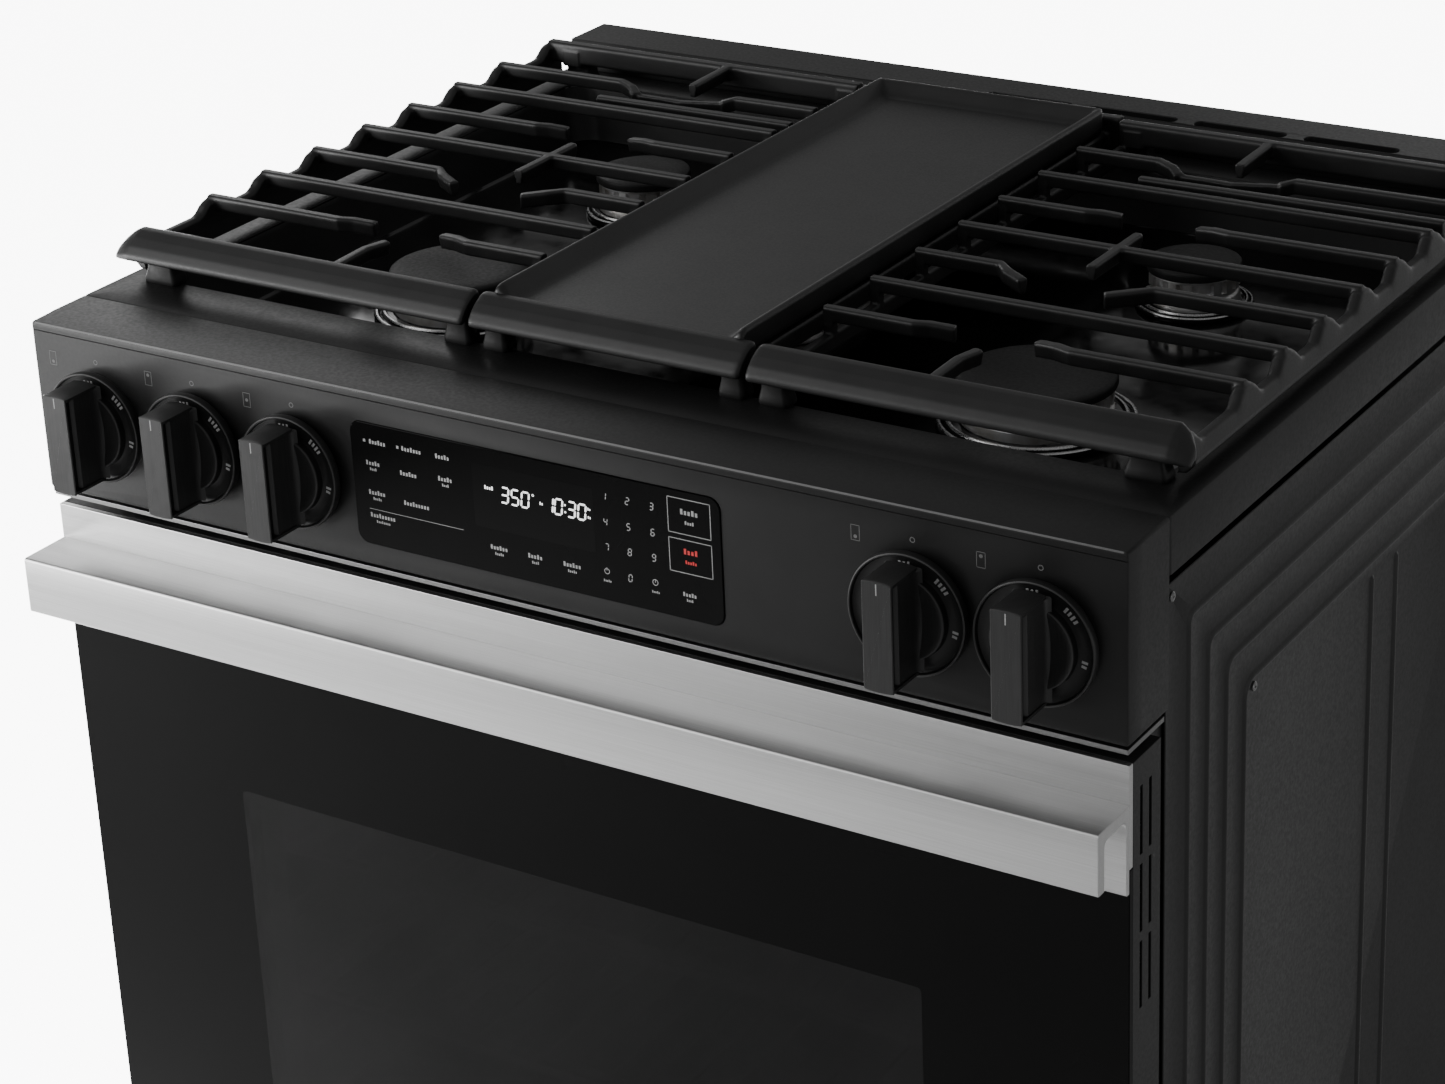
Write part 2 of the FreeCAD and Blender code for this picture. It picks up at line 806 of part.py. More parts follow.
def burner_bodies():
    """Five cast burners: gas cup under the pan, stepped ring on it and slotted flame head."""
    pan = -size.well_depth
    seat = -CAP_BASE - 0.1
    slots_at_full_size = 28
    slot_width = 1.8
    bodies = []
    for word, (x, setback, scale) in BURNERS.items():
        cup, throat, ring, step, shoulder, head, well = (
            radius * scale for radius in (28, 23, BURNER_RING, 51, 44, 41, 22))
        casting = turned("burner_casting_" + word, [
            (0, -75), (cup, -75), (cup, -54), (throat, -50), (throat, pan), (ring, pan), (ring, pan + 4),
            (step, pan + 6), (step - 1, -33), (shoulder, -33), (shoulder, -HEAD_BASE), (head, -HEAD_BASE),
            (head, seat), (well, seat), (well, -28), (0, -28)])
        move_to(casting, x, behind(setback), TOP)
        count = int(slots_at_full_size * scale)
        slots = []
        for number in range(count):
            slot = doc.addObject("Part::Box", "flame_slot_%s_%d" % (word, number + 1))
            bind(slot, "Length", 14 * scale)
            bind(slot, "Width", slot_width)
            bind(slot, "Height", 8)
            turn = Rotation(Vector(0, 0, 1), 360 * number / count)
            reach = turn.multVec(Vector(33 * scale, -slot_width / 2, 0))
            burner_spot = Vector(float(x), float(behind(setback)), float(below(26)))
            slot.Placement = Placement(burner_spot + reach, turn)
            slots.append(slot)
        bodies.append(cut("burner_body_" + word, casting, *slots))
    bodies.append(centre_burner_body())
    return group("burner_bodies", *bodies)


def centre_burner_body():
    """Long racetrack burner under the griddle, with ports down both sides."""
    port_count = 12
    port_pitch = 9
    port_width = 2
    casting = fuse(
        "burner_body_centre_blank",
        oval("centre_cup", 15, (below(70), below(size.well_depth))),
        oval("centre_ring", 27, (below(size.well_depth), below(size.well_depth - 5))),
        oval("centre_head", 20, (below(size.well_depth), below(CAP_BASE + 0.1))),
    )
    ports = []
    for number in range(port_count):
        front = behind(size.centre_burner - 50 + port_pitch * number)
        ports.append(block(
            "centre_port_%d" % number, across(24), (front, front + port_width), (below(26), below(19))))
    core = oval("centre_core", 13, (below(27), below(CAP_BASE - 1)))
    return cut("burner_body_centre", casting, fuse("centre_ports", *ports), core)


def burner_cap(word, x, setback, scale):
    """Enamelled cap with a crowned top and a locating skirt inside the head."""
    skirt, edge, bevel, crown = (radius * scale for radius in (20, 46, 44.5, 40))
    cap = turned("burner_cap_" + word, [
        (0, -CAP_BASE - 3), (skirt, -CAP_BASE - 3), (skirt, -CAP_BASE), (edge, -CAP_BASE),
        (edge, -CAP_TOP - 2.5), (bevel, -CAP_TOP - 0.8), (crown, -CAP_TOP), (0, -CAP_TOP)])
    move_to(cap, x, behind(setback), TOP)
    return cap


def centre_cap():
    """Racetrack cap of the centre burner."""
    return fuse(
        "burner_cap_centre",
        oval("centre_cap_plate", 23, (below(CAP_BASE), below(CAP_TOP))),
        oval("centre_cap_skirt", 11, (below(CAP_BASE + 3), below(CAP_BASE))),
    )


def igniters():
    """Ceramic spark electrodes standing beside the burners."""
    posts = [
        rod("igniter_" + word, "z", 2.5, (x, y), (below(64), below(24)))
        for word, x, y in igniter_spots()
    ]
    return group("igniters", *posts)


def back_trim():
    """Raised vent trim along the cooktop's rear edge, with four long vent slots."""
    wall = size.steel
    half = size.overall_width / 2
    front = behind(size.trim_front)
    back = behind(size.trim_back)
    foot = below(size.skirt)
    rise = above(size.trim_rise)
    bevel = 5
    first_slot = -28
    slot_length = 67
    slot_pitch = 80.5
    profile = [(front, foot), (back, foot), (back, rise), (front + bevel, rise), (front, rise - 8)]
    outside = prism("back_trim_outside", "x", profile, across(half))
    inside = block(
        "back_trim_inside", across(half - wall), (front + wall, back - wall), (foot - 1, above(12)))
    slots = []
    for number in range(4):
        left = first_slot + slot_pitch * number
        slots.append(rounded_block(
            "vent_slot_%d" % number, (left, left + slot_length), (behind(601), behind(612)),
            (above(10), rise + 2), 5))
    return cut("back_trim", outside, inside, *slots)


# ---------------------------------------------------------------- control panel

KNOBS = {
    "outer_left": -328.5,
    "middle_left": -251,
    "inner_left": -173.5,
    "inner_right": 251.5,
    "outer_right": 328.5,
}


def control_fascia():
    """Folded front panel with the display opening and the stem holes."""
    wall = size.steel
    half = size.overall_width / 2
    back = behind(size.panel_depth)
    shell = cut(
        "fascia_shell",
        block("fascia_outside", across(half), (size.front_face, back), (below(size.panel_height), TOP)),
        block(
            "fascia_inside", across(half - wall), (size.front_face + wall, back + 1),
            (below(size.panel_height - wall), below(wall))),
    )
    holes = [
        rod("stem_hole_" + word, "y", size.stem_radius * 2, (x, below(size.knob_drop)),
            (size.front_face - 6, size.front_face + 6))
        for word, x in KNOBS.items()
    ]
    window_rise = (
        below(size.display_drop + size.display_height + DISPLAY_GAP), below(size.display_drop - DISPLAY_GAP))
    window = rounded_block(
        "display_opening", across(size.display_width / 2 + DISPLAY_GAP),
        (size.front_face - 3, size.front_face + 3), window_rise, size.display_radius, "y")
    return cut("control_fascia", shell, window, *holes)


def display_glass():
    """Touch glass that fills the panel's opening."""
    proud = 0.8
    thickness = 3
    return rounded_block(
        "display_glass", across(size.display_width / 2),
        (size.front_face - proud, size.front_face - proud + thickness),
        (below(size.display_drop + size.display_height), below(size.display_drop)), size.display_radius, "y")


def control_board():
    """Circuit board behind the glass with its display block, relays and transformer."""
    front = size.front_face + 12
    back = front + 1.6
    return fuse(
        "control_board",
        block("board", across(118), (front, back), (below(97), below(23))),
        block("board_display", across(44), (front - 7, front), (below(74), below(28))),
        block("board_transformer", (60, 95), (back, back + 24.4), (below(90), below(60))),
        block("board_relays", (-90, -30), (back, back + 15.4), (below(50), below(32))),
    )


def vent_trim():
    """Bright strip under the control panel with the slotted cooling baffle behind it."""
    half = size.door_width / 2
    slot_count = 16
    slot_pitch = 44
    slot_width = 28
    strip = block("vent_strip", across(half), (behind(2), behind(46)), (below(119.5), below(116.5)))
    baffle = block("vent_baffle", across(half - 8), (behind(44), behind(46)), (below(126), below(118)))
    slots = []
    for number in range(slot_count):
        left = -350 + slot_pitch * number
        slots.append(block(
            "vent_trim_slot_%d" % number, (left, left + slot_width), (behind(40), behind(50)),
            (below(125), below(121))))
    return cut("vent_trim", fuse("vent_trim_blank", strip, baffle), *slots)


def valve_stem(word, x):
    """Sprung valve stem that the knob turns on and pushes."""
    return rod(
        "valve_stem_" + word, "y", size.stem_radius, (x, below(size.knob_drop)),
        (size.front_face - 26, behind(40)))


def gas_valves():
    """Five brass valve bodies clipped to the manifold, each with a bore for its stem."""
    half_width = 14
    bodies = []
    for word, x in KNOBS.items():
        body = rounded_block(
            "valve_block_" + word, (x - half_width, x + half_width), (behind(34), behind(65.8)),
            (below(size.knob_drop + 17), below(size.knob_drop - 13)), 4, "y")
        bore = rod(
            "valve_bore_" + word, "y", size.stem_radius + size.running_gap, (x, below(size.knob_drop)),
            (behind(30), behind(46)))
        bodies.append(cut("valve_body_" + word, body, bore))
    return group("gas_valves", *bodies)


def gas_manifold():
    """Steel supply pipe across the range behind the valves."""
    return rod("gas_manifold", "x", 9, (behind(75), below(MANIFOLD_DROP)), across(345))


def burner_gas_tubes():
    """Aluminium tubes from each valve to its burner cup."""
    height = below(60)
    valve_back = 66
    offset = size.burner_offset
    front, rear = size.front_burner, size.rear_burner
    centre_end = size.centre_burner - OVAL_LENGTH / 2 - 15
    cup = {word: 28 * scale for word, (x, setback, scale) in BURNERS.items()}
    routes = {
        "outer_left": [(KNOBS["outer_left"], rear), (-offset - cup["rear_left"], rear)],
        "middle_left": [(KNOBS["middle_left"], 120), (-offset, 160), (-offset, front - cup["front_left"])],
        "inner_left": [(KNOBS["inner_left"], 90), (0, 247), (0, centre_end)],
        "inner_right": [(KNOBS["inner_right"], 120), (offset, 160), (offset, front - cup["front_right"])],
        "outer_right": [(KNOBS["outer_right"], rear), (offset + cup["rear_right"], rear)],
    }
    tubes = []
    for word, route in routes.items():
        points = [(x, behind(setback), height) for x, setback in [(KNOBS[word], valve_back)] + route]
        tubes.append(bent_tube(points, 3.5, 14))
    return finished("burner_gas_tubes", Part.Compound(tubes))


def gas_regulator():
    """Pressure regulator with a threaded inlet facing the rear."""
    x = size.hinge_offset
    y = behind(588)
    shoulder = SERVICE_HEIGHT + 18
    body = rod("regulator_body", "z", 24, (x, y), (SERVICE_HEIGHT - 20, shoulder))
    dome = rod("regulator_dome", "z", 15, (x, y), (shoulder, SERVICE_HEIGHT + REGULATOR_RISE))
    boss = rod("regulator_boss", "y", 15, (x, SERVICE_HEIGHT), (y, behind(636)))
    inlet = rod(
        "regulator_inlet", "y", size.gas_thread_radius, (x, SERVICE_HEIGHT), (behind(618), behind(640)))
    return cut("gas_regulator", fuse("regulator_blank", body, dome, boss), inlet)


def supply_pipe():
    """Pipe from the regulator up the rear corner and forward to the manifold."""
    x = size.hinge_offset
    rear = behind(588)
    height = below(MANIFOLD_DROP)
    return finished("supply_pipe", bent_tube([
        (x, rear, SERVICE_HEIGHT + REGULATOR_RISE), (x, rear, height), (x, behind(84), height)], 7, 30))


def power_inlet():
    """Strain-relief gland whose neck passes through the rear sheet for the mains lead."""
    spot = (LEAD_OFFSET, SERVICE_HEIGHT)
    body = rod("inlet_body", "y", 11, spot, (behind(628), behind(640)))
    neck = rod("inlet_neck", "y", 8.8, spot, (behind(638), behind(644)))
    bore = rod("inlet_bore", "y", size.lead_radius, spot, (behind(620), behind(650)))
    return cut("power_inlet", fuse("inlet_blank", body, neck), bore)


def knob(word, x):
    """Dial with a sunken label ring and a thin rim, a raised hub and a tall grip bar."""
    rim_width = 1.5
    easing = 1
    rim_foot = size.dial_radius - rim_width
    dial = turned("knob_dial_" + word, [
        (0, size.dial_standoff), (size.dial_radius - easing, size.dial_standoff),
        (size.dial_radius, size.dial_standoff + easing), (size.dial_radius, size.dial_reach),
        (rim_foot, size.dial_reach), (rim_foot, size.label_ring_reach),
        (size.hub_radius, size.label_ring_reach), (size.hub_radius, size.hub_reach - easing),
        (size.hub_radius - easing, size.hub_reach), (0, size.hub_reach)], OUTWARD)
    height = below(size.knob_drop)
    move_to(dial, x, size.front_face, height)
    grip = rounded_block(
        "knob_grip_" + word, (x - size.grip_width / 2, x + size.grip_width / 2),
        (size.front_face - size.knob_reach, size.front_face - size.hub_reach + 2),
        (height - size.grip_length / 2, height + size.grip_length / 2), 3, "y")
    bore = rod(
        "knob_bore_" + word, "y", size.stem_radius + size.running_gap, (x, height),
        (size.front_face - 27, size.front_face))
    return cut("knob_" + word, fuse("knob_blank_" + word, dial, grip), bore)


# ---------------------------------------------------------------- door and drawer

def door_frame():
    """Folded steel door shell: four walls, front and rear flanges and side vents."""
    wall = size.steel
    flange = 18
    notch_half = 4
    vent_pitch = 48
    vent_height = 42
    vent_width = 3
    half = size.door_width / 2
    front = behind(size.door_setback + size.glass_thickness + 0.2)
    back = behind(size.door_setback + size.door_depth)
    low = size.door_bottom
    high = below(size.door_drop)
    blank = block("door_outside", across(half), (front, back), (low, high))
    room = block("door_room", across(half - wall), (front + wall, back - wall), (low + wall, high - wall))
    view = block(
        "door_view", across(half - flange), (front - 1, back + 1), (low + flange, high - flange))
    notches = []
    for side, word in SIDES:
        x_span = on_side(side, size.hinge_offset - notch_half, size.hinge_offset + notch_half)
        notches.append(block(
            "hinge_notch_" + word, x_span, (behind(size.hinge_inset - 8), back + 0.5),
            (low - 1, size.hinge_height + 8)))
    vents = []
    for side, word in SIDES:
        for column, setback in enumerate((17, 28)):
            for line in range(3):
                vent_top = below(145 + vent_pitch * line)
                vents.append(block(
                    "door_vent_%s_%d_%d" % (word, column, line), on_side(side, half - 3, half + 3),
                    (behind(setback), behind(setback) + vent_width), (vent_top - vent_height, vent_top)))
    return cut("door_frame", blank, room, view, *notches, *vents)


def door_outer_glass():
    """Black glass sheet that covers the door below the trim."""
    return block(
        "door_outer_glass", across(size.door_width / 2),
        (behind(size.door_setback), behind(size.door_setback + size.glass_thickness)),
        (size.door_bottom, below(size.trim_drop + 0.4)))


def door_trim():
    """Folded stainless plate across the door's top."""
    front = behind(size.door_setback)
    back = behind(size.door_setback + size.glass_thickness)
    half = size.door_width / 2
    blank = block("trim_blank", across(half), (front, back), (below(size.trim_drop), below(size.door_drop)))
    room = block(
        "trim_room", across(half - size.steel), (front + size.steel, back + 1),
        (below(size.trim_drop - size.steel), below(size.door_drop + size.steel)))
    return cut("door_trim", blank, room)


def door_handle():
    """Full-width handle: back leg on the door, top shelf and a hanging front leg."""
    wall = size.handle_wall
    back_wall = 3.4
    corner = 3
    edge = 1
    back = behind(size.door_setback - 0.1)
    front = size.front_face - size.handle_reach
    top = below(size.handle_drop)
    ceiling = top - wall
    lip = top - size.handle_height
    leg = lip - 17
    profile = [
        (back, top), (back, leg), (back - back_wall, leg), (back - wall, ceiling - corner - edge),
        (back - wall - corner, ceiling), (front + wall + corner, ceiling), (front + wall, ceiling - corner),
        (front + wall - edge, lip), (front + edge, lip), (front, lip + edge), (front, top - edge),
        (front + edge, top)]
    return prism("door_handle", "x", profile, across(size.door_width / 2))


def door_liner():
    """Inner door panel with a raised plug and the window opening."""
    wall = size.steel
    plate_front = behind(39.4)
    plug_back = behind(44)
    half = size.door_width / 2
    plug_half = half - 20
    low = size.door_bottom + 17
    high = below(size.door_drop + 10)
    plug_low = low + 5
    plug_high = high - 10
    sight = 4
    plate = block("liner_plate", across(half - 8), (plate_front, plate_front + wall), (low, high))
    plug = block("liner_plug", across(plug_half), (plate_front, plug_back), (plug_low, plug_high))
    back_room = block(
        "liner_room", across(plug_half - wall), (plate_front - 1, plug_back - wall),
        (plug_low + wall, plug_high - wall))
    view = rounded_block(
        "liner_view", across(size.window_width / 2 + sight), (plate_front - 2, plug_back + 2),
        (size.window_bottom - sight - 1, size.window_top + sight + 1), 12, "y")
    return cut("door_liner", fuse("liner_blank", plate, plug), back_room, view)


def door_inner_glass():
    """Heat-resisting pane behind the liner's window."""
    lap = 15
    return block(
        "door_inner_glass", across(size.window_width / 2 + lap - 1), (behind(34), behind(38)),
        (size.window_bottom - lap, size.window_top + lap))


def hinge_arms():
    """Pair of hinge clevises in the door, each with the pin that turns in the chassis ear."""
    cheek = 3
    reach = 7.5
    half_depth = 7
    arm_length = 120
    arms = []
    for side, word in SIDES:
        depth = (behind(size.hinge_inset - half_depth), behind(size.hinge_inset + half_depth))
        cheeks = [
            block(
                "hinge_cheek_%s_%d" % (word, number + 1),
                on_side(side, size.hinge_offset + inner, size.hinge_offset + inner + cheek), depth,
                (size.hinge_height - 6, size.hinge_height + arm_length))
            for number, inner in enumerate((-reach, reach - cheek))
        ]
        bridge = block(
            "hinge_bridge_" + word, on_side(side, size.hinge_offset - 5, size.hinge_offset + 5),
            (depth[0], depth[0] + 4), (size.hinge_height + arm_length / 2, size.hinge_height + arm_length))
        pin = rod(
            "hinge_pin_" + word, "x", size.pin_radius, (behind(size.hinge_inset), size.hinge_height),
            on_side(side, size.hinge_offset - reach + 0.5, size.hinge_offset + reach - 0.5))
        arms.append(fuse("hinge_arm_" + word, *cheeks, bridge, pin))
    return group("hinge_arms", *arms)


def drawer_front():
    """Folded drawer face."""
    wall = size.steel
    half = size.drawer_width / 2
    front = behind(size.door_setback)
    back = behind(24)
    blank = block("drawer_face_blank", across(half), (front, back), (size.drawer_bottom, size.drawer_top))
    room = block(
        "drawer_face_room", across(half - wall), (front + wall, back + 1),
        (size.drawer_bottom + wall, size.drawer_top - wall))
    return cut("drawer_front", blank, room)


def drawer_box():
    """Open steel tray with side flanges that ride on the chassis rails."""
    wall = size.steel
    half = size.hinge_offset - 13
    y_span = (behind(24.1), behind(520))
    low = size.drawer_bottom + 20
    high = size.drawer_bottom + 144
    flange_foot = size.drawer_bottom + 97.8
    flange_thickness = 2
    tray = cut(
        "tray",
        block("tray_outside", across(half), y_span, (low, high)),
        block("tray_inside", across(half - wall), (y_span[0] + wall, y_span[1] - wall),
              (low + wall, high + 1)),
    )
    flanges = [
        block("tray_flange_" + word, on_side(side, half - wall / 2, half + 14), (behind(62), y_span[1]),
              (flange_foot, flange_foot + flange_thickness))
        for side, word in SIDES
    ]
    return fuse("drawer_box", tray, *flanges)


# ---------------------------------------------------------------- racks and grates

def oven_rack(name, height):
    """Welded wire rack: a rod frame with a dropped lip and brace, and lengthwise wires."""
    wire = size.rack_wire
    thin_wire = 1.8
    wire_count = 22
    half = size.cavity_width / 2 - 9
    inside_ledges = half - 8
    front = behind(80)
    back = behind(490)
    pieces = [
        rod(name + "_side_left", "y", wire, (-half, height), (front, back)),
        rod(name + "_side_right", "y", wire, (half, height), (front, back)),
        rod(name + "_front", "x", wire, (front, height), across(half)),
        rod(name + "_front_lip", "x", wire, (front + 14, height - 2), across(inside_ledges)),
        rod(name + "_back", "x", wire, (back, height), across(half)),
        rod(name + "_brace", "x", wire, (behind(290), height - 4), across(inside_ledges)),
    ]
    pitch = half * 2 / (wire_count + 1)
    for number in range(wire_count):
        x = -half + pitch * (number + 1)
        pieces.append(rod("%s_wire_%d" % (name, number + 1), "y", thin_wire, (x, height), (front, back)))
    return fuse(name, *pieces)


GRATE_REAR = 553
HEEL_BACK = 581
FOOT_WIDTH = 22
FOOT_SPANS = (
    (behind(size.rail_front), behind(size.rail_front) + 14),
    (behind(HEEL_BACK - 14), behind(HEEL_BACK)),
)


def side_grate(name, side):
    """Cast grate over two burners: front rail, outer rail, inner rail, cross bars and stubs."""
    top = above(size.grate_rise)
    half_bar = size.bar_width / 2
    rail_height = 16
    hook_depth = 28
    outer = size.overall_width / 2 - 8
    inner = size.side_gap
    middle = size.burner_offset
    bar_end = outer - 3
    rail_front = behind(size.rail_front)
    rail_back = rail_front + size.rail_depth
    rear = behind(GRATE_REAR)
    rear_rail = 9
    inner_rail = on_side(side, inner, inner + size.bar_width)
    bar_rise = (top - size.bar_depth, top)
    pieces = [
        rounded_block(
            name + "_front_rail", on_side(side, inner, bar_end), (rail_front, rail_back),
            (top - rail_height, top), 5, "x"),
        block(name + "_rear_rail", on_side(side, inner, bar_end - 3), (rear, rear + rear_rail),
              (top - rail_height, top - 1)),
        block(name + "_inner_rail", inner_rail, (rail_back - 4, rear + 4), (top - hook_depth, top - 14)),
        grate_outer_rail(name, side, outer, (rail_front + 2, rear + rear_rail)),
    ]
    gaps = {166: 27, 221: 0, 276: 26, 331: 0, 384: 27, 439: 0, 494: 29}
    for setback, gap in gaps.items():
        y_span = (behind(setback) - half_bar, behind(setback) + half_bar)
        label = "%s_bar_%d" % (name, setback)
        if gap:
            pieces.append(block(label + "_inner", on_side(side, inner, middle - gap), y_span, bar_rise))
            pieces.append(block(label + "_outer", on_side(side, middle + gap, bar_end), y_span, bar_rise))
        else:
            pieces.append(block(label, on_side(side, inner, bar_end), y_span, bar_rise))
        pieces.append(block(label + "_hook", inner_rail, y_span, (top - hook_depth, top)))
    stubs = ((rail_back - 2, behind(146)), (behind(293), behind(358)), (behind(507), rear + 2))
    for number, y_span in enumerate(stubs):
        pieces.append(block(
            "%s_stub_%d" % (name, number + 1), on_side(side, middle - half_bar, middle + half_bar), y_span,
            bar_rise))
    for edge, low_x in (("inner", inner + 2), ("outer", outer - 40)):
        x_span = on_side(side, low_x, low_x + FOOT_WIDTH)
        for end, y_span in zip(ENDS, FOOT_SPANS):
            pieces.append(block("%s_foot_%s_%s" % (name, end, edge), x_span, y_span, (TOP, bar_rise[0])))
        pieces.append(block(
            "%s_heel_%s" % (name, edge), x_span, (rear + 2, behind(HEEL_BACK)), (top - 22, top - 12)))
    return fuse(name, *pieces)


def grate_outer_rail(name, side, outer, y_span):
    """Outer rail: raised clear of the cooktop's rim, with a sloping outer face."""
    foot = above(11)
    flat = above(30)
    outline = [
        (side * (outer - 9), foot), (side * (outer + 2), foot), (side * (outer + 2), above(14)),
        (side * (outer - 2), above(27)), (side * (outer - 4), flat), (side * (outer - 12), flat),
        (side * (outer - 15), above(26))]
    if side == RIGHT:
        outline = outline[:1] + outline[:0:-1]
    return prism(name + "_outer_rail", "y", outline, y_span)


def centre_grate():
    """Cast frame between the side grates that carries the griddle."""
    top = above(size.grate_rise)
    half = size.centre_half
    rail_front = behind(size.rail_front)
    rail_back = rail_front + size.rail_depth
    seat = above(20.8)
    side_depth = 14
    cross_depth = 12
    half_cross = 4
    pieces = [
        rounded_block("centre_front_rail", across(half), (rail_front, rail_back), (top - 16, top), 5, "x"),
        block("centre_rear_rail", across(half), (behind(564), behind(574)), (seat - cross_depth, above(31))),
    ]
    for side, word in SIDES:
        pieces.append(block(
            "centre_side_" + word, on_side(side, half - 18, half - 8), (rail_back - 4, behind(566)),
            (seat - side_depth, seat)))
        x_span = on_side(side, half - 2 - FOOT_WIDTH, half - 6)
        for end, y_span in zip(ENDS, FOOT_SPANS):
            pieces.append(block("centre_foot_%s_%s" % (end, word), x_span, y_span, (TOP, above(18))))
    for setback in (180, 331, 480):
        y_span = (behind(setback) - half_cross, behind(setback) + half_cross)
        pieces.append(block(
            "centre_cross_%d" % setback, across(half - 10), y_span, (seat - cross_depth, seat)))
    return fuse("centre_grate", *pieces)


def griddle():
    """Cast griddle plate with raised walls on three sides, open toward the front rail."""
    half = size.griddle_half
    wall = 15
    floor = above(29)
    high = above(size.griddle_rise)
    y_span = (behind(size.rail_front) + size.rail_depth + 0.5, behind(560))
    blank = rounded_block("griddle_blank", across(half), y_span, (above(21), high), 6)
    hollow = rounded_block(
        "griddle_hollow", across(half - wall), (y_span[0] - 20, y_span[1] - wall), (floor, high + 5), 10)
    return cut("griddle", blank, hollow)


# ---------------------------------------------------------------- assembly

def build():
    nodes = [
        side_panel("side_panel_left", LEFT),
        side_panel("side_panel_right", RIGHT),
        rear_cover(),
        chassis(),
        levelling_feet(),
        body_screws(),
        oven_cavity(),
        oven_insulation(),
        oven_gasket(),
        oven_floor(),
        oven_burners(),
        fan_cover(),
        fan_rotor(),
        fan_motor(),
        oven_lamp(),
        flue_duct(),
        cooktop_pan(),
        back_trim(),
        burner_bodies(),
        igniters(),
        control_fascia(),
        display_glass(),
        control_board(),
        vent_trim(),
        gas_manifold(),
        gas_valves(),
        burner_gas_tubes(),
        gas_regulator(),
        supply_pipe(),
        power_inlet(),
        door_frame(),
        door_outer_glass(),
        door_trim(),
        door_handle(),
        door_liner(),
        door_inner_glass(),
        hinge_arms(),
        drawer_front(),
        drawer_box(),
        oven_rack("oven_rack_lower", size.lowest_rack + size.rack_pitch),
        oven_rack("oven_rack_upper", size.lowest_rack + size.rack_pitch * 3),
        side_grate("grate_left", LEFT),
        side_grate("grate_right", RIGHT),
        centre_grate(),
        griddle(),
        centre_cap(),
    ]
    for word, (x, setback, scale) in BURNERS.items():
        nodes.append(burner_cap(word, x, setback, scale))
    for word, x in KNOBS.items():
        nodes.append(valve_stem(word, x))
        nodes.append(knob(word, x))
    return nodes


def check(nodes):
    """Stop on any failed object or broken shape before anything is written."""
    for item in doc.Objects:
        if "Invalid" in item.State or "Error" in item.State:
            raise SystemExit("failed object: %s %s" % (item.Name, item.State))
    for node in nodes:
        shape = node.Shape
        if shape.isNull() or not shape.isValid() or not shape.Solids:
            raise SystemExit("bad shape: " + node.Label)


nodes = build()
doc.recompute()
check(nodes)
os.makedirs("parts", exist_ok=True)
for node in nodes:
    node.Shape.exportStep("parts/%s.step" % node.Label)
print(len(nodes), "nodes written")
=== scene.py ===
import json
import math

import bmesh
import bpy
from mathutils import Matrix, Vector


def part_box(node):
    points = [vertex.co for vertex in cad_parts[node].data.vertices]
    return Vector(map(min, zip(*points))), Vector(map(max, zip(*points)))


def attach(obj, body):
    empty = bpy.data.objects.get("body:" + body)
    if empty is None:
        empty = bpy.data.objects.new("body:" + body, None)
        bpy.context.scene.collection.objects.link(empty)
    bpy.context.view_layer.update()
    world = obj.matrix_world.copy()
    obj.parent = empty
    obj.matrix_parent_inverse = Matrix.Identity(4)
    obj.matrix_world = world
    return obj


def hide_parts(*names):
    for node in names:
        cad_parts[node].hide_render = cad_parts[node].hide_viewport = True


# A 30-inch slide-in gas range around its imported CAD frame. Lengths in this script are in
# millimetres from ORIGIN, the middle of the control panel's top front edge: x to the right,
# y to the rear, z up. Only at() turns them into metres.

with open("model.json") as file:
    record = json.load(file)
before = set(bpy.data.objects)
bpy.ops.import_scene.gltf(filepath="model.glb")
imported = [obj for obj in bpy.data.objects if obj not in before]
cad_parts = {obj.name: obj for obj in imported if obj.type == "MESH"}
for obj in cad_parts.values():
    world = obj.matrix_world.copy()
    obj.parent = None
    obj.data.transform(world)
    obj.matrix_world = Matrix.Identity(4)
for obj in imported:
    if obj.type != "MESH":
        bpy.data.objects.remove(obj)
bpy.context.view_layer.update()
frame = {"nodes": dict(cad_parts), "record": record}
nodes = frame["nodes"]
panel_low, panel_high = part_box("control_fascia")
ORIGIN = Vector(((panel_low.x + panel_high.x) / 2, panel_low.y, panel_high.z))
PANEL_HALF = (panel_high.x - panel_low.x) * 500
PANEL_DROP = (panel_high.z - panel_low.z) * 1000
PANEL_DEPTH = (panel_high.y - panel_low.y) * 1000
SIDES = (-1, 1)
FULL_TURN = 2 * math.pi


def at(x, y, z):
    return ORIGIN + Vector((x, y, z)) / 1000


def span(node):
    """A CAD node's limits on each axis, in this script's millimetres."""
    low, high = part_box(node)
    return [
        ((low[axis] - ORIGIN[axis]) * 1000, (high[axis] - ORIGIN[axis]) * 1000)
        for axis in range(3)]


def middle(node):
    return [(low + high) / 2 for low, high in span(node)]


def linked(item):
    bpy.context.scene.collection.objects.link(item)
    return item


# Where a flat outline's (u, v) and its push w go in space.

def lying(u, v, w):
    return (u, v, w)


def facing_front(u, v, w):
    return (u, w, v)


def facing_side(u, v, w):
    return (w, u, v)


def circle(radius, steps, x=0.0, y=0.0):
    turns = [FULL_TURN * step / steps for step in range(steps)]
    return [(x + radius * math.cos(turn), y + radius * math.sin(turn)) for turn in turns]


# ---------------------------------------------------------------- materials

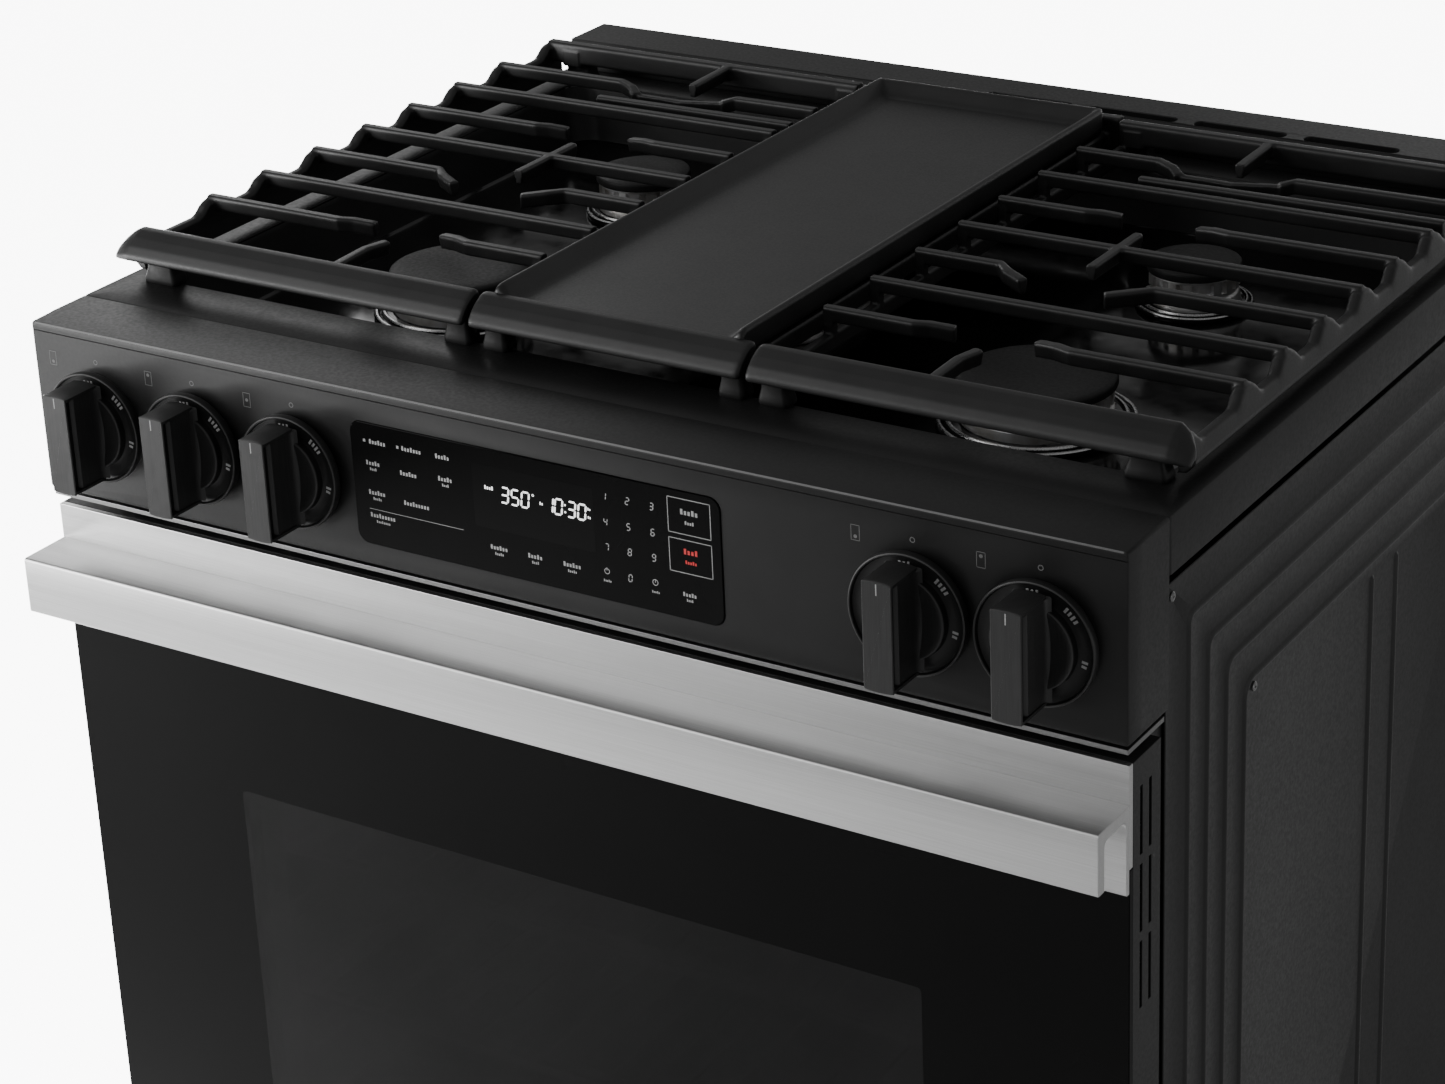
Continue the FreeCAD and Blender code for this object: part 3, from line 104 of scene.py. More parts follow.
class Nodes:
    """A material's node tree, with object coordinates in metres as its only source."""

    def __init__(self, name="finish"):
        self.material = bpy.data.materials.new(name)
        self.material.use_nodes = True
        self.tree = self.material.node_tree
        self.shader = self.tree.nodes["Principled BSDF"]
        self.coordinates = self.node("TexCoord").outputs["Object"]

    def node(self, kind):
        return self.tree.nodes.new("ShaderNode" + kind)

    def link(self, source, target):
        self.tree.links.new(source, target)

    def stretched(self, scale):
        mapping = self.node("Mapping")
        mapping.inputs["Scale"].default_value = scale
        self.link(self.coordinates, mapping.inputs["Vector"])
        return mapping.outputs["Vector"]

    def noise(self, scale, detail=3.0, rough=0.55, stretch=(1, 1, 1)):
        texture = self.node("TexNoise")
        texture.inputs["Scale"].default_value = scale
        texture.inputs["Detail"].default_value = detail
        texture.inputs["Roughness"].default_value = rough
        self.link(self.stretched(stretch), texture.inputs["Vector"])
        return texture.outputs["Fac"]

    def cells(self, scale):
        """A different value in each cell."""
        texture = self.node("TexVoronoi")
        texture.inputs["Scale"].default_value = scale
        self.link(self.coordinates, texture.inputs["Vector"])
        return texture.outputs["Color"]

    def waves(self, scale, direction, stretch=(1, 1, 1)):
        texture = self.node("TexWave")
        texture.bands_direction = direction
        texture.inputs["Scale"].default_value = scale
        texture.inputs["Distortion"].default_value = 1.5
        self.link(self.stretched(stretch), texture.inputs["Vector"])
        return texture.outputs["Fac"]

    def spread(self, source, low, high, start=0.3, end=0.7):
        """The source's values from start to end, spread between low and high."""
        ranged = self.node("MapRange")
        limits = {"From Min": start, "From Max": end, "To Min": low, "To Max": high}
        for name, amount in limits.items():
            ranged.inputs[name].default_value = amount
        self.link(source, ranged.inputs["Value"])
        return ranged.outputs["Result"]

    def tones(self, source, dark, light, start=0.35, end=0.65):
        ramp = self.node("ValToRGB")
        for stop, place, tone in zip(ramp.color_ramp.elements, (start, end), (dark, light)):
            stop.position = place
            stop.color = (*tone, 1)
        self.link(source, ramp.inputs["Fac"])
        return ramp.outputs["Color"]

    def combine(self, operation, source, other):
        """One value from a source and either another source or a number."""
        node = self.node("Math")
        node.operation = operation
        self.link(source, node.inputs[0])
        if isinstance(other, float):
            node.inputs[1].default_value = other
        else:
            self.link(other, node.inputs[1])
        return node.outputs["Value"]

    def relief(self, layers):
        """Bumps stacked on one another; each layer is (source, strength, depth in metres)."""
        normal = None
        for source, strength, depth in layers:
            bump = self.node("Bump")
            bump.inputs["Strength"].default_value = strength
            bump.inputs["Distance"].default_value = depth
            self.link(source, bump.inputs["Height"])
            if normal is not None:
                self.link(normal, bump.inputs["Normal"])
            normal = bump.outputs["Normal"]
        self.link(normal, self.shader.inputs["Normal"])

    def colour(self, source):
        self.link(source, self.shader.inputs["Base Color"])

    def roughness(self, source, low, high):
        self.link(self.spread(source, low, high), self.shader.inputs["Roughness"])

    def done(self, **amounts):
        """The material, once its uniform amounts are on the shader's own sockets."""
        for name, amount in amounts.items():
            self.shader.inputs[name.replace("_", " ")].default_value = amount
        return self.material


def grey(level, warmth=0.0):
    return (level * (1 + warmth), level, level * (1 - warmth))


def surface(mottle, shades, gloss, limits, bumps, **amounts):
    """A finish made of noise: mottle for its colour, gloss for its roughness, bumps for relief.

    A noise is (scale, detail), then its roughness and stretch where they matter. Shades are
    (dark, light), then the ramp's ends where they matter.
    """
    m = Nodes()
    m.colour(m.tones(m.noise(*mottle), *shades))
    m.roughness(m.noise(*gloss), *limits)
    m.relief([(m.noise(*noise), strength, depth) for noise, strength, depth in bumps])
    return m.done(**amounts)


def painted_steel(dark, light, limits, specular):
    """Satin powder coat: faint mottling and a fine orange peel."""
    return surface(
        (9, 4), (grey(dark), grey(light)), (420, 2), limits,
        [((1500, 2), 0.015, 0.0002), ((35, 2), 0.02, 0.0004)], Specular_IOR_Level=specular)


def brushed(tone, limits, grain):
    """Stainless steel brushed along the object's width."""
    fine_grain, streaks = (9, 1600, 1600), (9 * 0.12, 1600 * 0.12, 1600 * 0.12)
    return surface(
        (1, 4, 0.7, fine_grain), (grey(tone * 0.82), grey(tone), 0.3, 0.7),
        (1, 2, 0.5, streaks), limits, [((1, 4, 0.7, fine_grain), grain, 0.00008)], Metallic=1.0)


def dark_glass(see_through, tone, specular):
    """Black glass with the faintest smudging in its gloss."""
    return surface(
        (6, 4), (grey(tone * 0.8), grey(tone * 1.2)), (18, 5), (0.02, 0.07),
        [((7, 2), 0.01, 0.0005)], Specular_IOR_Level=specular, Alpha=see_through)


def nylon(dark, light):
    """Matte moulded plastic or rubber, and the grate feet's near-black painted shade."""
    return surface(
        (50, 3), (grey(dark), grey(light)), (300, 3), (0.45, 0.6),
        [((700, 3), 0.12, 0.0002)], Specular_IOR_Level=0.3)


def bright_edge(tone):
    """Polished metal."""
    return surface(
        (300, 3), (grey(tone * 0.85), grey(tone)), (500, 2), (0.22, 0.34),
        [((1600, 2), 0.05, 0.0001)], Metallic=1.0)


def printed(colour, glow=0.0):
    """Screen-printed or lit marking: slightly uneven ink."""
    return surface(
        (900, 3), (tuple(level * 0.8 for level in colour), colour), (400, 2), (0.4, 0.6),
        [((1500, 2), 0.1, 0.0001)], Emission_Color=(*colour, 1), Emission_Strength=glow)


def zinc_plated():
    """Galvanised sheet with faint spangles."""
    m = Nodes()
    m.colour(m.tones(m.cells(110), grey(0.31), grey(0.38), 0.1, 0.9))
    m.roughness(m.noise(120, 3), 0.40, 0.52)
    m.relief([(m.noise(600, 2), 0.06, 0.0002)])
    return m.done(Metallic=0.85)


def glass_braid():
    """Woven glass-fibre rope seal."""
    m = Nodes()
    weave = m.waves(180, "DIAGONAL")
    m.colour(m.tones(weave, grey(0.16, 0.05), grey(0.40, 0.05)))
    m.roughness(m.noise(300, 3), 0.75, 0.95)
    m.relief([(weave, 0.6, 0.0008), (m.noise(900, 3), 0.3, 0.0003)])
    return m.done()


def circuit_laminate():
    """Green laminate with copper tracks under the varnish."""
    m = Nodes()
    tracks = m.waves(95, "X", (1, 1, 2.2))
    m.colour(m.tones(tracks, (0.01, 0.07, 0.03), (0.05, 0.20, 0.08), 0.45, 0.55))
    m.roughness(m.noise(160, 3), 0.28, 0.45)
    m.relief([(tracks, 0.25, 0.0002)])
    return m.done()


DIAL_GRAIN = (1, 3, 0.6, (1500, 1500, 40))
FIBRES = (240, 6, 0.75, (1, 3, 1))

# A finish for each material slot of the record.
LOOKS = {
    "black_paint": painted_steel(0.010, 0.015, (0.36, 0.48), 0.22),
    # fired enamel: deep gloss with a soft ripple and a few pin-fine specks
    "black_enamel": surface(
        (14, 4), (grey(0.004), grey(0.007)), (60, 3), (0.07, 0.17),
        [((28, 1), 0.015, 0.0006), ((900, 2), 0.01, 0.0001)], Specular_IOR_Level=0.34),
    # dark oven enamel with pale flecks
    "oven_enamel": surface(
        (900, 1, 0.4), ((0.05, 0.052, 0.06), (0.34, 0.36, 0.40), 0.62, 0.70),
        (80, 3), (0.20, 0.36), [((220, 2), 0.08, 0.0003)]),
    "stainless": brushed(0.60, (0.33, 0.42), 0.14),
    "plain_steel": zinc_plated(),
    # matte enamelled cast iron with a sandy skin
    "cast_iron": surface(
        (26, 4), (grey(0.005), grey(0.010)), (760, 4, 0.6), (0.38, 0.52),
        [((760, 4, 0.6), 0.12, 0.0003), ((140, 3), 0.05, 0.0005)], Specular_IOR_Level=0.44),
    # die-cast aluminium with machining rings and light heat stain
    "burner_alloy": surface(
        (55, 4), ((0.58, 0.56, 0.53), (0.86, 0.86, 0.87)),
        (500, 3, 0.6, (1, 1, 3)), (0.36, 0.50),
        [((500, 2, 0.5, (0.4, 0.4, 4)), 0.04, 0.0002)], Metallic=1.0),
    "black_glass": dark_glass(1.0, 0.0025, 0.07),
    "clear_glass": dark_glass(0.22, 0.02, 0.4),
    # dark metallic lacquer brushed from top to bottom
    "knob_finish": surface(
        DIAL_GRAIN, (grey(0.018), grey(0.027)), (200, 3), (0.30, 0.40),
        [(DIAL_GRAIN, 0.04, 0.0001)], Metallic=0.15, Specular_IOR_Level=0.35),
    "brass": surface(
        (60, 4), ((0.46, 0.33, 0.14), (0.72, 0.54, 0.25)), (300, 3), (0.24, 0.42),
        [((1, 3, 0.5, (300, 2500, 300)), 0.12, 0.0001)], Metallic=1.0),
    "rack_chrome": surface(
        (40, 3), (grey(0.60), grey(0.80)), (220, 3), (0.12, 0.26),
        [((500, 2), 0.05, 0.0002)], Metallic=1.0),
    # yellow-brown matted fibres
    "wool": surface(
        FIBRES, ((0.30, 0.24, 0.13), (0.62, 0.53, 0.34)), FIBRES, (0.85, 1.0),
        [(FIBRES, 0.7, 0.002), ((40, 3), 0.4, 0.004)]),
    "braid": glass_braid(),
    "ceramic": surface(
        (70, 4), ((0.66, 0.63, 0.57), (0.84, 0.82, 0.78)), (150, 3), (0.25, 0.45),
        [((400, 2), 0.08, 0.0002)]),
    "circuit": circuit_laminate(),
    "gland": nylon(0.02, 0.035),
}

# Looks that share a slot with another finish: look -> (slot, material).
VARIANTS = {
    "window_glass": ("black_glass", dark_glass(0.72, 0.014, 0.10)),
    "display_window": ("black_glass", dark_glass(1.0, 0.0012, 0.10)),
    "display_ink": ("black_glass", printed(grey(0.36), 0.03)),
    "lit_segments": ("black_glass", printed(grey(0.9), 1.5)),
    "red_legend": ("black_glass", printed((0.62, 0.02, 0.02), 0.12)),
    "panel_ink": ("black_paint", printed(grey(0.12))),
    "dial_ink": ("knob_finish", printed(grey(0.34))),
    # painted highlight: lighter satin for the knobs' rim, hub edge and grip edges
    "dial_edge_highlight": ("knob_finish", painted_steel(0.034, 0.048, (0.38, 0.52), 0.2)),
    # painted shade: darker satin in the knobs' sunken label ring and in the groove behind the
    # grip's front plate
    "dial_recess_shade": ("knob_finish", painted_steel(0.006, 0.010, (0.30, 0.45), 0.2)),
    # painted highlight: lighter paint for the strip along the panel's top front edge, where the
    # eased edge catches the light
    "painted_edge_highlight": ("black_paint", painted_steel(0.06, 0.09, (0.30, 0.42), 0.5)),
    "matte_cap": ("black_enamel", painted_steel(0.011, 0.017, (0.42, 0.58), 0.22)),
    "polished_rim": ("burner_alloy", bright_edge(0.60)),
    "dull_screw": ("plain_steel", bright_edge(0.20)),
    # painted shade: near-black matte finish for the grate feet, which stand in the rails' shadow
    "foot_shade": ("cast_iron", nylon(0.004, 0.007)),
    "seam_trim": ("stainless", brushed(0.22, (0.36, 0.46), 0.10)),
}
SLOTS = {look: look for look in LOOKS}
for look, (slot, material) in VARIANTS.items():
    SLOTS[look] = slot
    LOOKS[look] = material
for look, material in LOOKS.items():
    material.name = look


# ---------------------------------------------------------------- mesh helpers

class Form:
    """Points and faces gathered before they become one mesh; each face has a look's number."""

    def __init__(self):
        self.points = []
        self.faces = []
        self.looks = []

    def add(self, points, faces, looks):
        base = len(self.points)
        self.points.extend(points)
        self.faces.extend([tuple(base + index for index in face) for face in faces])
        self.looks.extend(looks)

    def loft(self, rings, close_start=True, close_end=True, bands=()):
        """Faces between rings of equal length; bands pairs a ring with the look after it."""
        count = len(rings[0])
        chosen = dict(bands)
        faces, looks = [], []
        for level in range(len(rings) - 1):
            for index in range(count):
                ahead = (index + 1) % count
                low = level * count
                high = low + count
                faces.append((low + index, low + ahead, high + ahead, high + index))
                looks.append(chosen.get(level, 0))
        if close_start:
            faces.append(tuple(reversed(range(count))))
            looks.append(0)
        if close_end:
            last = (len(rings) - 1) * count
            faces.append(tuple(last + index for index in range(count)))
            looks.append(0)
        self.add([point for ring in rings for point in ring], faces, looks)

    def lathe(self, centre, profile, segments=96, forward=False, bands=()):
        """A turned shape; the profile is (radius, height), upward or, if forward, along -y."""
        x, y, z = centre
        rings = []
        for radius, height in profile:
            ring = circle(radius, segments)
            if forward:
                rings.append([(x + across, y - height, z + along) for across, along in ring])
            else:
                rings.append([(x + across, y + along, z + height) for across, along in ring])
        self.loft(rings, bands=bands)

    def slab(self, outline, place, low, high, ease=0.0, bands=()):
        """An outline pushed from low to high, its end edges eased, put in space by place."""
        if ease:
            small = shrunk(outline, ease)
            levels = [(small, low), (outline, low + ease), (outline, high - ease), (small, high)]
        else:
            levels = [(outline, low), (outline, high)]
        self.loft([[place(u, v, w) for u, v in ring] for ring, w in levels], bands=bands)

    def strip(self, path, section):
        """A section of (sideways, up) points swept along a path of (x, y, z) points."""
        rings = []
        for index, (x, y, z) in enumerate(path):
            before = path[max(index - 1, 0)]
            after = path[min(index + 1, len(path) - 1)]
            heading = Vector((after[0] - before[0], after[1] - before[1])).normalized()
            rings.append([(x - heading.y * u, y + heading.x * u, z + v) for u, v in section])
        self.loft(rings)


def shrunk(outline, inset):
    """An outline drawn in by an inset along its corners' normals."""
    count = len(outline)
    turn = sum(
        outline[i][0] * outline[(i + 1) % count][1] - outline[(i + 1) % count][0] * outline[i][1]
        for i in range(count))
    sense = 1 if turn > 0 else -1
    drawn = []
    for index in range(count):
        before = Vector(outline[index - 1])
        here = Vector(outline[index])
        after = Vector(outline[(index + 1) % count])
        first = (here - before).normalized()
        second = (after - here).normalized()
        normal = Vector((-first.y - second.y, first.x + second.x)).normalized() * sense
        lean = max(normal.dot(Vector((-first.y, first.x)) * sense), 0.4)
        drawn.append(tuple(here + normal * inset / lean))
    return drawn


def rounded(u, v, radius, steps=5, inset=0.0):
    """A rectangle drawn in from two limits on each axis, with round corners."""
    u = (u[0] + inset, u[1] - inset)
    v = (v[0] + inset, v[1] - inset)
    corners = (
        (u[1] - radius, v[0] + radius, -90), (u[1] - radius, v[1] - radius, 0),
        (u[0] + radius, v[1] - radius, 90), (u[0] + radius, v[0] + radius, 180))
    outline = []
    for middle_u, middle_v, start in corners:
        for step in range(steps + 1):
            turn = math.radians(start + 90 * step / steps)
            outline.append(
                (middle_u + radius * math.cos(turn), middle_v + radius * math.sin(turn)))
    return outline


def finish_mesh(item, sharp):
    mesh = item.data
    shape = bmesh.new()
    shape.from_mesh(mesh)
    bmesh.ops.recalc_face_normals(shape, faces=shape.faces)
    shape.to_mesh(mesh)
    shape.free()
    mesh.shade_smooth()
    mesh.set_sharp_from_angle(angle=math.radians(sharp))


def new_object(name, form):
    mesh = bpy.data.meshes.new(name)
    mesh.from_pydata([at(*point) for point in form.points], [], form.faces)
    mesh.polygons.foreach_set("material_index", form.looks)
    return linked(bpy.data.objects.new(name, mesh))


def settle(item, body, look, stands_for=(), more=()):
    """Gives a finished object its body and its materials, and hides the CAD nodes it stands for."""
    for word in (look, *more):
        item.data.materials.append(LOOKS[word])
    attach(item, body)
    if stands_for:
        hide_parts(*stands_for)


def piece(name, form, body, look, stands_for=(), sharp=35, more=()):
    item = new_object(name, form)
    finish_mesh(item, sharp)
    settle(item, body, look, stands_for, more)


WELD_GAP = 0.00001
SHEET = 0.0012


def add_modifier(item, kind, **settings):
    modifier = item.modifiers.new(kind.title(), kind)
    for setting, amount in settings.items():
        setattr(modifier, setting, amount)
    return modifier


def ease_edges(item, width):
    """Rounds the sharp edges of a mesh by modifiers alone."""
    add_modifier(item, "WELD", merge_threshold=WELD_GAP)
    add_modifier(
        item, "BEVEL", width=width / 1000, segments=2, limit_method="ANGLE",
        angle_limit=math.radians(35), miter_outer="MITER_ARC", use_clamp_overlap=True,
        harden_normals=False)


def applied(item, sharp=None):
    """Turns an object's modifiers into its mesh."""
    graph = bpy.context.evaluated_depsgraph_get()
    mesh = bpy.data.meshes.new_from_object(item.evaluated_get(graph))
    item.modifiers.clear()
    item.data = mesh
    if sharp is not None:
        mesh.shade_smooth()
        mesh.set_sharp_from_angle(angle=math.radians(sharp))


def cast(name, form, body, node, voxels, smoothing, ratio):
    """Melts a form's overlapping parts into one soft-edged casting; voxels are (quick, full), and
    the quick size is not used.
    """
    item = new_object(name, form)
    finish_mesh(item, 40)
    add_modifier(item, "REMESH", mode="VOXEL", voxel_size=voxels[1])
    add_modifier(item, "SMOOTH", factor=0.5, iterations=smoothing)
    add_modifier(item, "DECIMATE", ratio=ratio)
    applied(item)
    item.data.shade_smooth()
    settle(item, body, "cast_iron", [node])


def cut_away(item, form):
    """Takes a closed form out of an object."""
    tool = new_object("cutter", form)
    finish_mesh(tool, 30)
    add_modifier(item, "BOOLEAN", operation="DIFFERENCE", solver="EXACT", object=tool)
    applied(item)
    bpy.data.objects.remove(tool)


# ---------------------------------------------------------------- control panel

def fascia():
    """Folded panel with eased edges, a seam under its top edge and a crease on its sill."""
    rings = []
    for y, inset, crown in (
            (PANEL_DEPTH, 0, 0), (20, 0, 0), (17, 0, 0.3), (1.6, 0, 0.7),
            (0.5, 0.45, 0.9), (0, 1.5, 1.9)):
        outline = rounded(
            (-PANEL_HALF + inset, PANEL_HALF - inset), (-PANEL_DROP + inset, -crown), 2)
        rings.append([(x, y, z) for x, z in outline])
    form = Form()
    form.loft(rings, close_start=False)
    item = new_object("fascia_panel", form)
    finish_mesh(item, 25)
    add_modifier(item, "SOLIDIFY", thickness=SHEET, offset=-1)
    applied(item)
    seam = Form()
    seam.slab(
        [(-1, -6.5), (0.7, -6.5), (0.7, -5.8), (-1, -5.8)], facing_side,
        -PANEL_HALF - 1, PANEL_HALF + 1)
    cut_away(item, seam)
    display_x, _, display_z = span("display_glass")
    gap = 0.4
    opening = Form()
    opening.slab(rounded(display_x, display_z, 8, inset=-gap), facing_front, -2, 3)
    cut_away(item, opening)
    item.data.shade_smooth()
    item.data.set_sharp_from_angle(angle=math.radians(28))
    settle(item, "range_body", "black_paint", ["control_fascia"])
    # Painted highlight: a lighter strip along the top front edge, where the eased edge catches the
    # light.
    highlight_strip = Form()
    highlight_strip.slab(
        [(0.48, -0.86), (-0.02, -1.86), (0.12, -1.96), (0.62, -0.98)], facing_side,
        -PANEL_HALF + 3, PANEL_HALF - 3)
    piece("fascia_edge_highlight", highlight_strip, "range_body", "painted_edge_highlight", sharp=30)


def display():
    """Touch glass with a fine ground edge."""
    x, y, z = span("display_glass")
    form = Form()
    levels = ((y[1], 0), (y[0] + 0.35, 0), (y[0], 0.35))
    form.loft([
        [(u, depth, v) for u, v in rounded(x, z, 7.6, 8, inset)] for depth, inset in levels])
    piece("display_panel", form, "range_body", "black_glass", ["display_glass"], 20)
    return y[0]


class Print:
    """Thin printed marks on a plane that faces the front."""

    def __init__(self, face, thickness=0.06):
        self.face = face
        self.thickness = thickness
        self.form = Form()

    def patch(self, outline):
        self.form.slab(outline, facing_front, self.face - self.thickness, self.face + 0.02)

    def bar(self, x, z, width, height, turn=0.0):
        a, b = width / 2, height / 2
        c, s = math.cos(turn), math.sin(turn)
        corners = ((-a, -b), (a, -b), (a, b), (-a, b))
        self.patch([(x + u * c - v * s, z + u * s + v * c) for u, v in corners])

    def frame(self, x, z, width, height, line):
        for side in SIDES:
            self.bar(x + side * (width - line) / 2, z, line, height)
            self.bar(x, z + side * (height - line) / 2, width, line)

    def ring(self, x, z, radius, line, steps=20):
        outer = circle(radius, steps, x, z)
        inner = circle(radius - line, steps, x, z)
        for i in range(steps):
            j = (i + 1) % steps
            self.patch([outer[i], outer[j], inner[j], inner[i]])

    def word(self, x, z, letters, height=2.2, lines=1):
        """A legend reduced to a row of plain strokes, with no letters in it."""
        pitch = height * 0.72
        for line in range(lines):
            count = letters if line == 0 else max(letters - 1, 2)
            size = height if line == 0 else height * 0.62
            step = pitch * size / height
            for number in range(count):
                tall = size * (1.0 if number in (0, 3) else 0.72)
                spot = x + (number - (count - 1) / 2) * step
                self.bar(spot, z - line * height * 1.35 - (size - tall) / 2, step * 0.62, tall)

    def digit(self, x, z, value, height, stroke):
        """A seven-segment figure that leans slightly."""
        lit = ("abcdef", "bc", "abged", "abgcd", "fgbc", "afgcd", "afgedc", "abc", "abcdefg",
               "abcdfg")[value]
        half = height / 2
        wide = height * 0.26
        lean = 0.12
        spots = {
            "a": (0, half, 0), "g": (0, 0, 0), "d": (0, -half, 0),
            "b": (wide, half / 2, 1), "c": (wide, -half / 2, 1),
            "f": (-wide, half / 2, 1), "e": (-wide, -half / 2, 1)}
        for name in lit:
            u, v, upright = spots[name]
            long = (half if upright else wide * 2) - stroke * 0.5
            along, over = long / 2, stroke / 2
            tips = [
                (-along, 0), (-along + over, over), (along - over, over), (along, 0),
                (along - over, -over), (-along + over, -over)]
            if upright:
                tips = [(-b, a) for a, b in tips]
            self.patch([(x + u + a + (v + b) * lean, z + v + b) for a, b in tips])

    def finish(self, name, look, body="range_body"):
        piece(name, self.form, body, look, sharp=20)


def display_graphics(face):
    """Keypad figures, plain legends, two framed keys and the lit clock."""
    key_height, key_stroke, line = 4.2, 0.6, 0.45
    ink = Print(face)
    for row, z in enumerate((-34, -50, -65.7)):
        for column, x in enumerate((51.8, 67.5, 83.9)):
            ink.digit(x, z, row * 3 + column + 1, key_height, key_stroke)
    ink.digit(67, -82, 0, key_height, key_stroke)
    for x, radius, bar_z, width, height in ((51, 1.9, -79.6, 0.5, 1.8), (84, 2.0, -80.4, 0.4, 1.4)):
        ink.ring(x, -81, radius, line)
        ink.bar(x, bar_z, width, height)
        ink.word(x, -87, 5, 1.5)
    framed_x = 108.9
    ink.frame(framed_x, -36, 28.7, 22, line)
    ink.word(framed_x, -33, 5, 3.4)
    ink.word(framed_x, -39.5, 4, 2.2)
    ink.frame(framed_x, -60.5, 28.9, 21, line)
    ink.word(107, -84, 5, 2.6, 2)
    rows = (
        (-109.5, -32, 6, 1), (-84.5, -32, 7, 1), (-62, -32, 5, 1),
        (-114, -46, 5, 2), (-88, -48, 6, 1), (-61, -46, 5, 2),
        (-112.6, -65, 6, 2), (-83.6, -67, 9, 1), (-109.6, -79.8, 9, 2),
        (-25, -82.5, 6, 2), (0.7, -82.5, 5, 2), (26.6, -82.5, 6, 2))
    for x, z, letters, lines in rows:
        ink.word(x, z, letters, 2.9, lines)
    for x in (-119, -94.5):
        ink.bar(x, -32, 1.6, 1.8)
    ink.bar(-84.5, -76, 69, 0.3)
    ink.finish("display_legends", "display_ink")
    window = Print(face, 0.03)
    window.patch(rounded((-41, 44), (-71, -31), 1.5))
    window.finish("display_window", "display_window")
    lit = Print(face, 0.09)
    lit_height, lit_stroke = 9.6, 1.15
    for number, value in enumerate((3, 5, 0)):
        lit.digit(-18.2 + number * 7.2, -47.6, value, lit_height, lit_stroke)
    lit.ring(1.9, -43.6, 0.8, 0.35, 10)
    lit.word(7.5, -47.6, 2, 1.8)
    lit.word(-29.5, -45, 4, 2.3)
    for x, value in ((13.2, 1), (19.6, 0), (28.6, 3), (35.8, 0)):
        lit.digit(x, -47.2, value, lit_height, lit_stroke)
    for z in (-45.2, -49.6):
        lit.bar(24.2, z, 1.1, 1.1)
    lit.word(40.8, -44.5, 2, 1.6)
    lit.word(40.8, -49.6, 2, 1.6)
    lit.finish("display_lit", "lit_segments")
    red = Print(face)
    red.word(framed_x, -57.3, 4, 3.4)
    red.word(framed_x, -63.8, 5, 2.2)
    red.finish("display_red_legend", "red_legend")


def panel_marks():
    """Index ring over each knob and a small burner plan beside it."""
    marks = Print(0)
    plan_z, dot = -23, 1.1
    for knob_x, plan_x, row in (
            (-328.5, -364, -1), (-251, -286, 1), (-173.5, -208, 0), (251.5, 216, -1),
            (328.5, 293, 1)):
        marks.ring(knob_x, -20, 1.7, 0.55)
        marks.frame(plan_x, plan_z, 5.6, 9.4, 0.4)
        dot_z = plan_z + row * 2 * dot
        marks.patch(rounded((plan_x - dot, plan_x + dot), (dot_z - dot, dot_z + dot), 1.0, 3))
    marks.finish("panel_marks", "panel_ink")


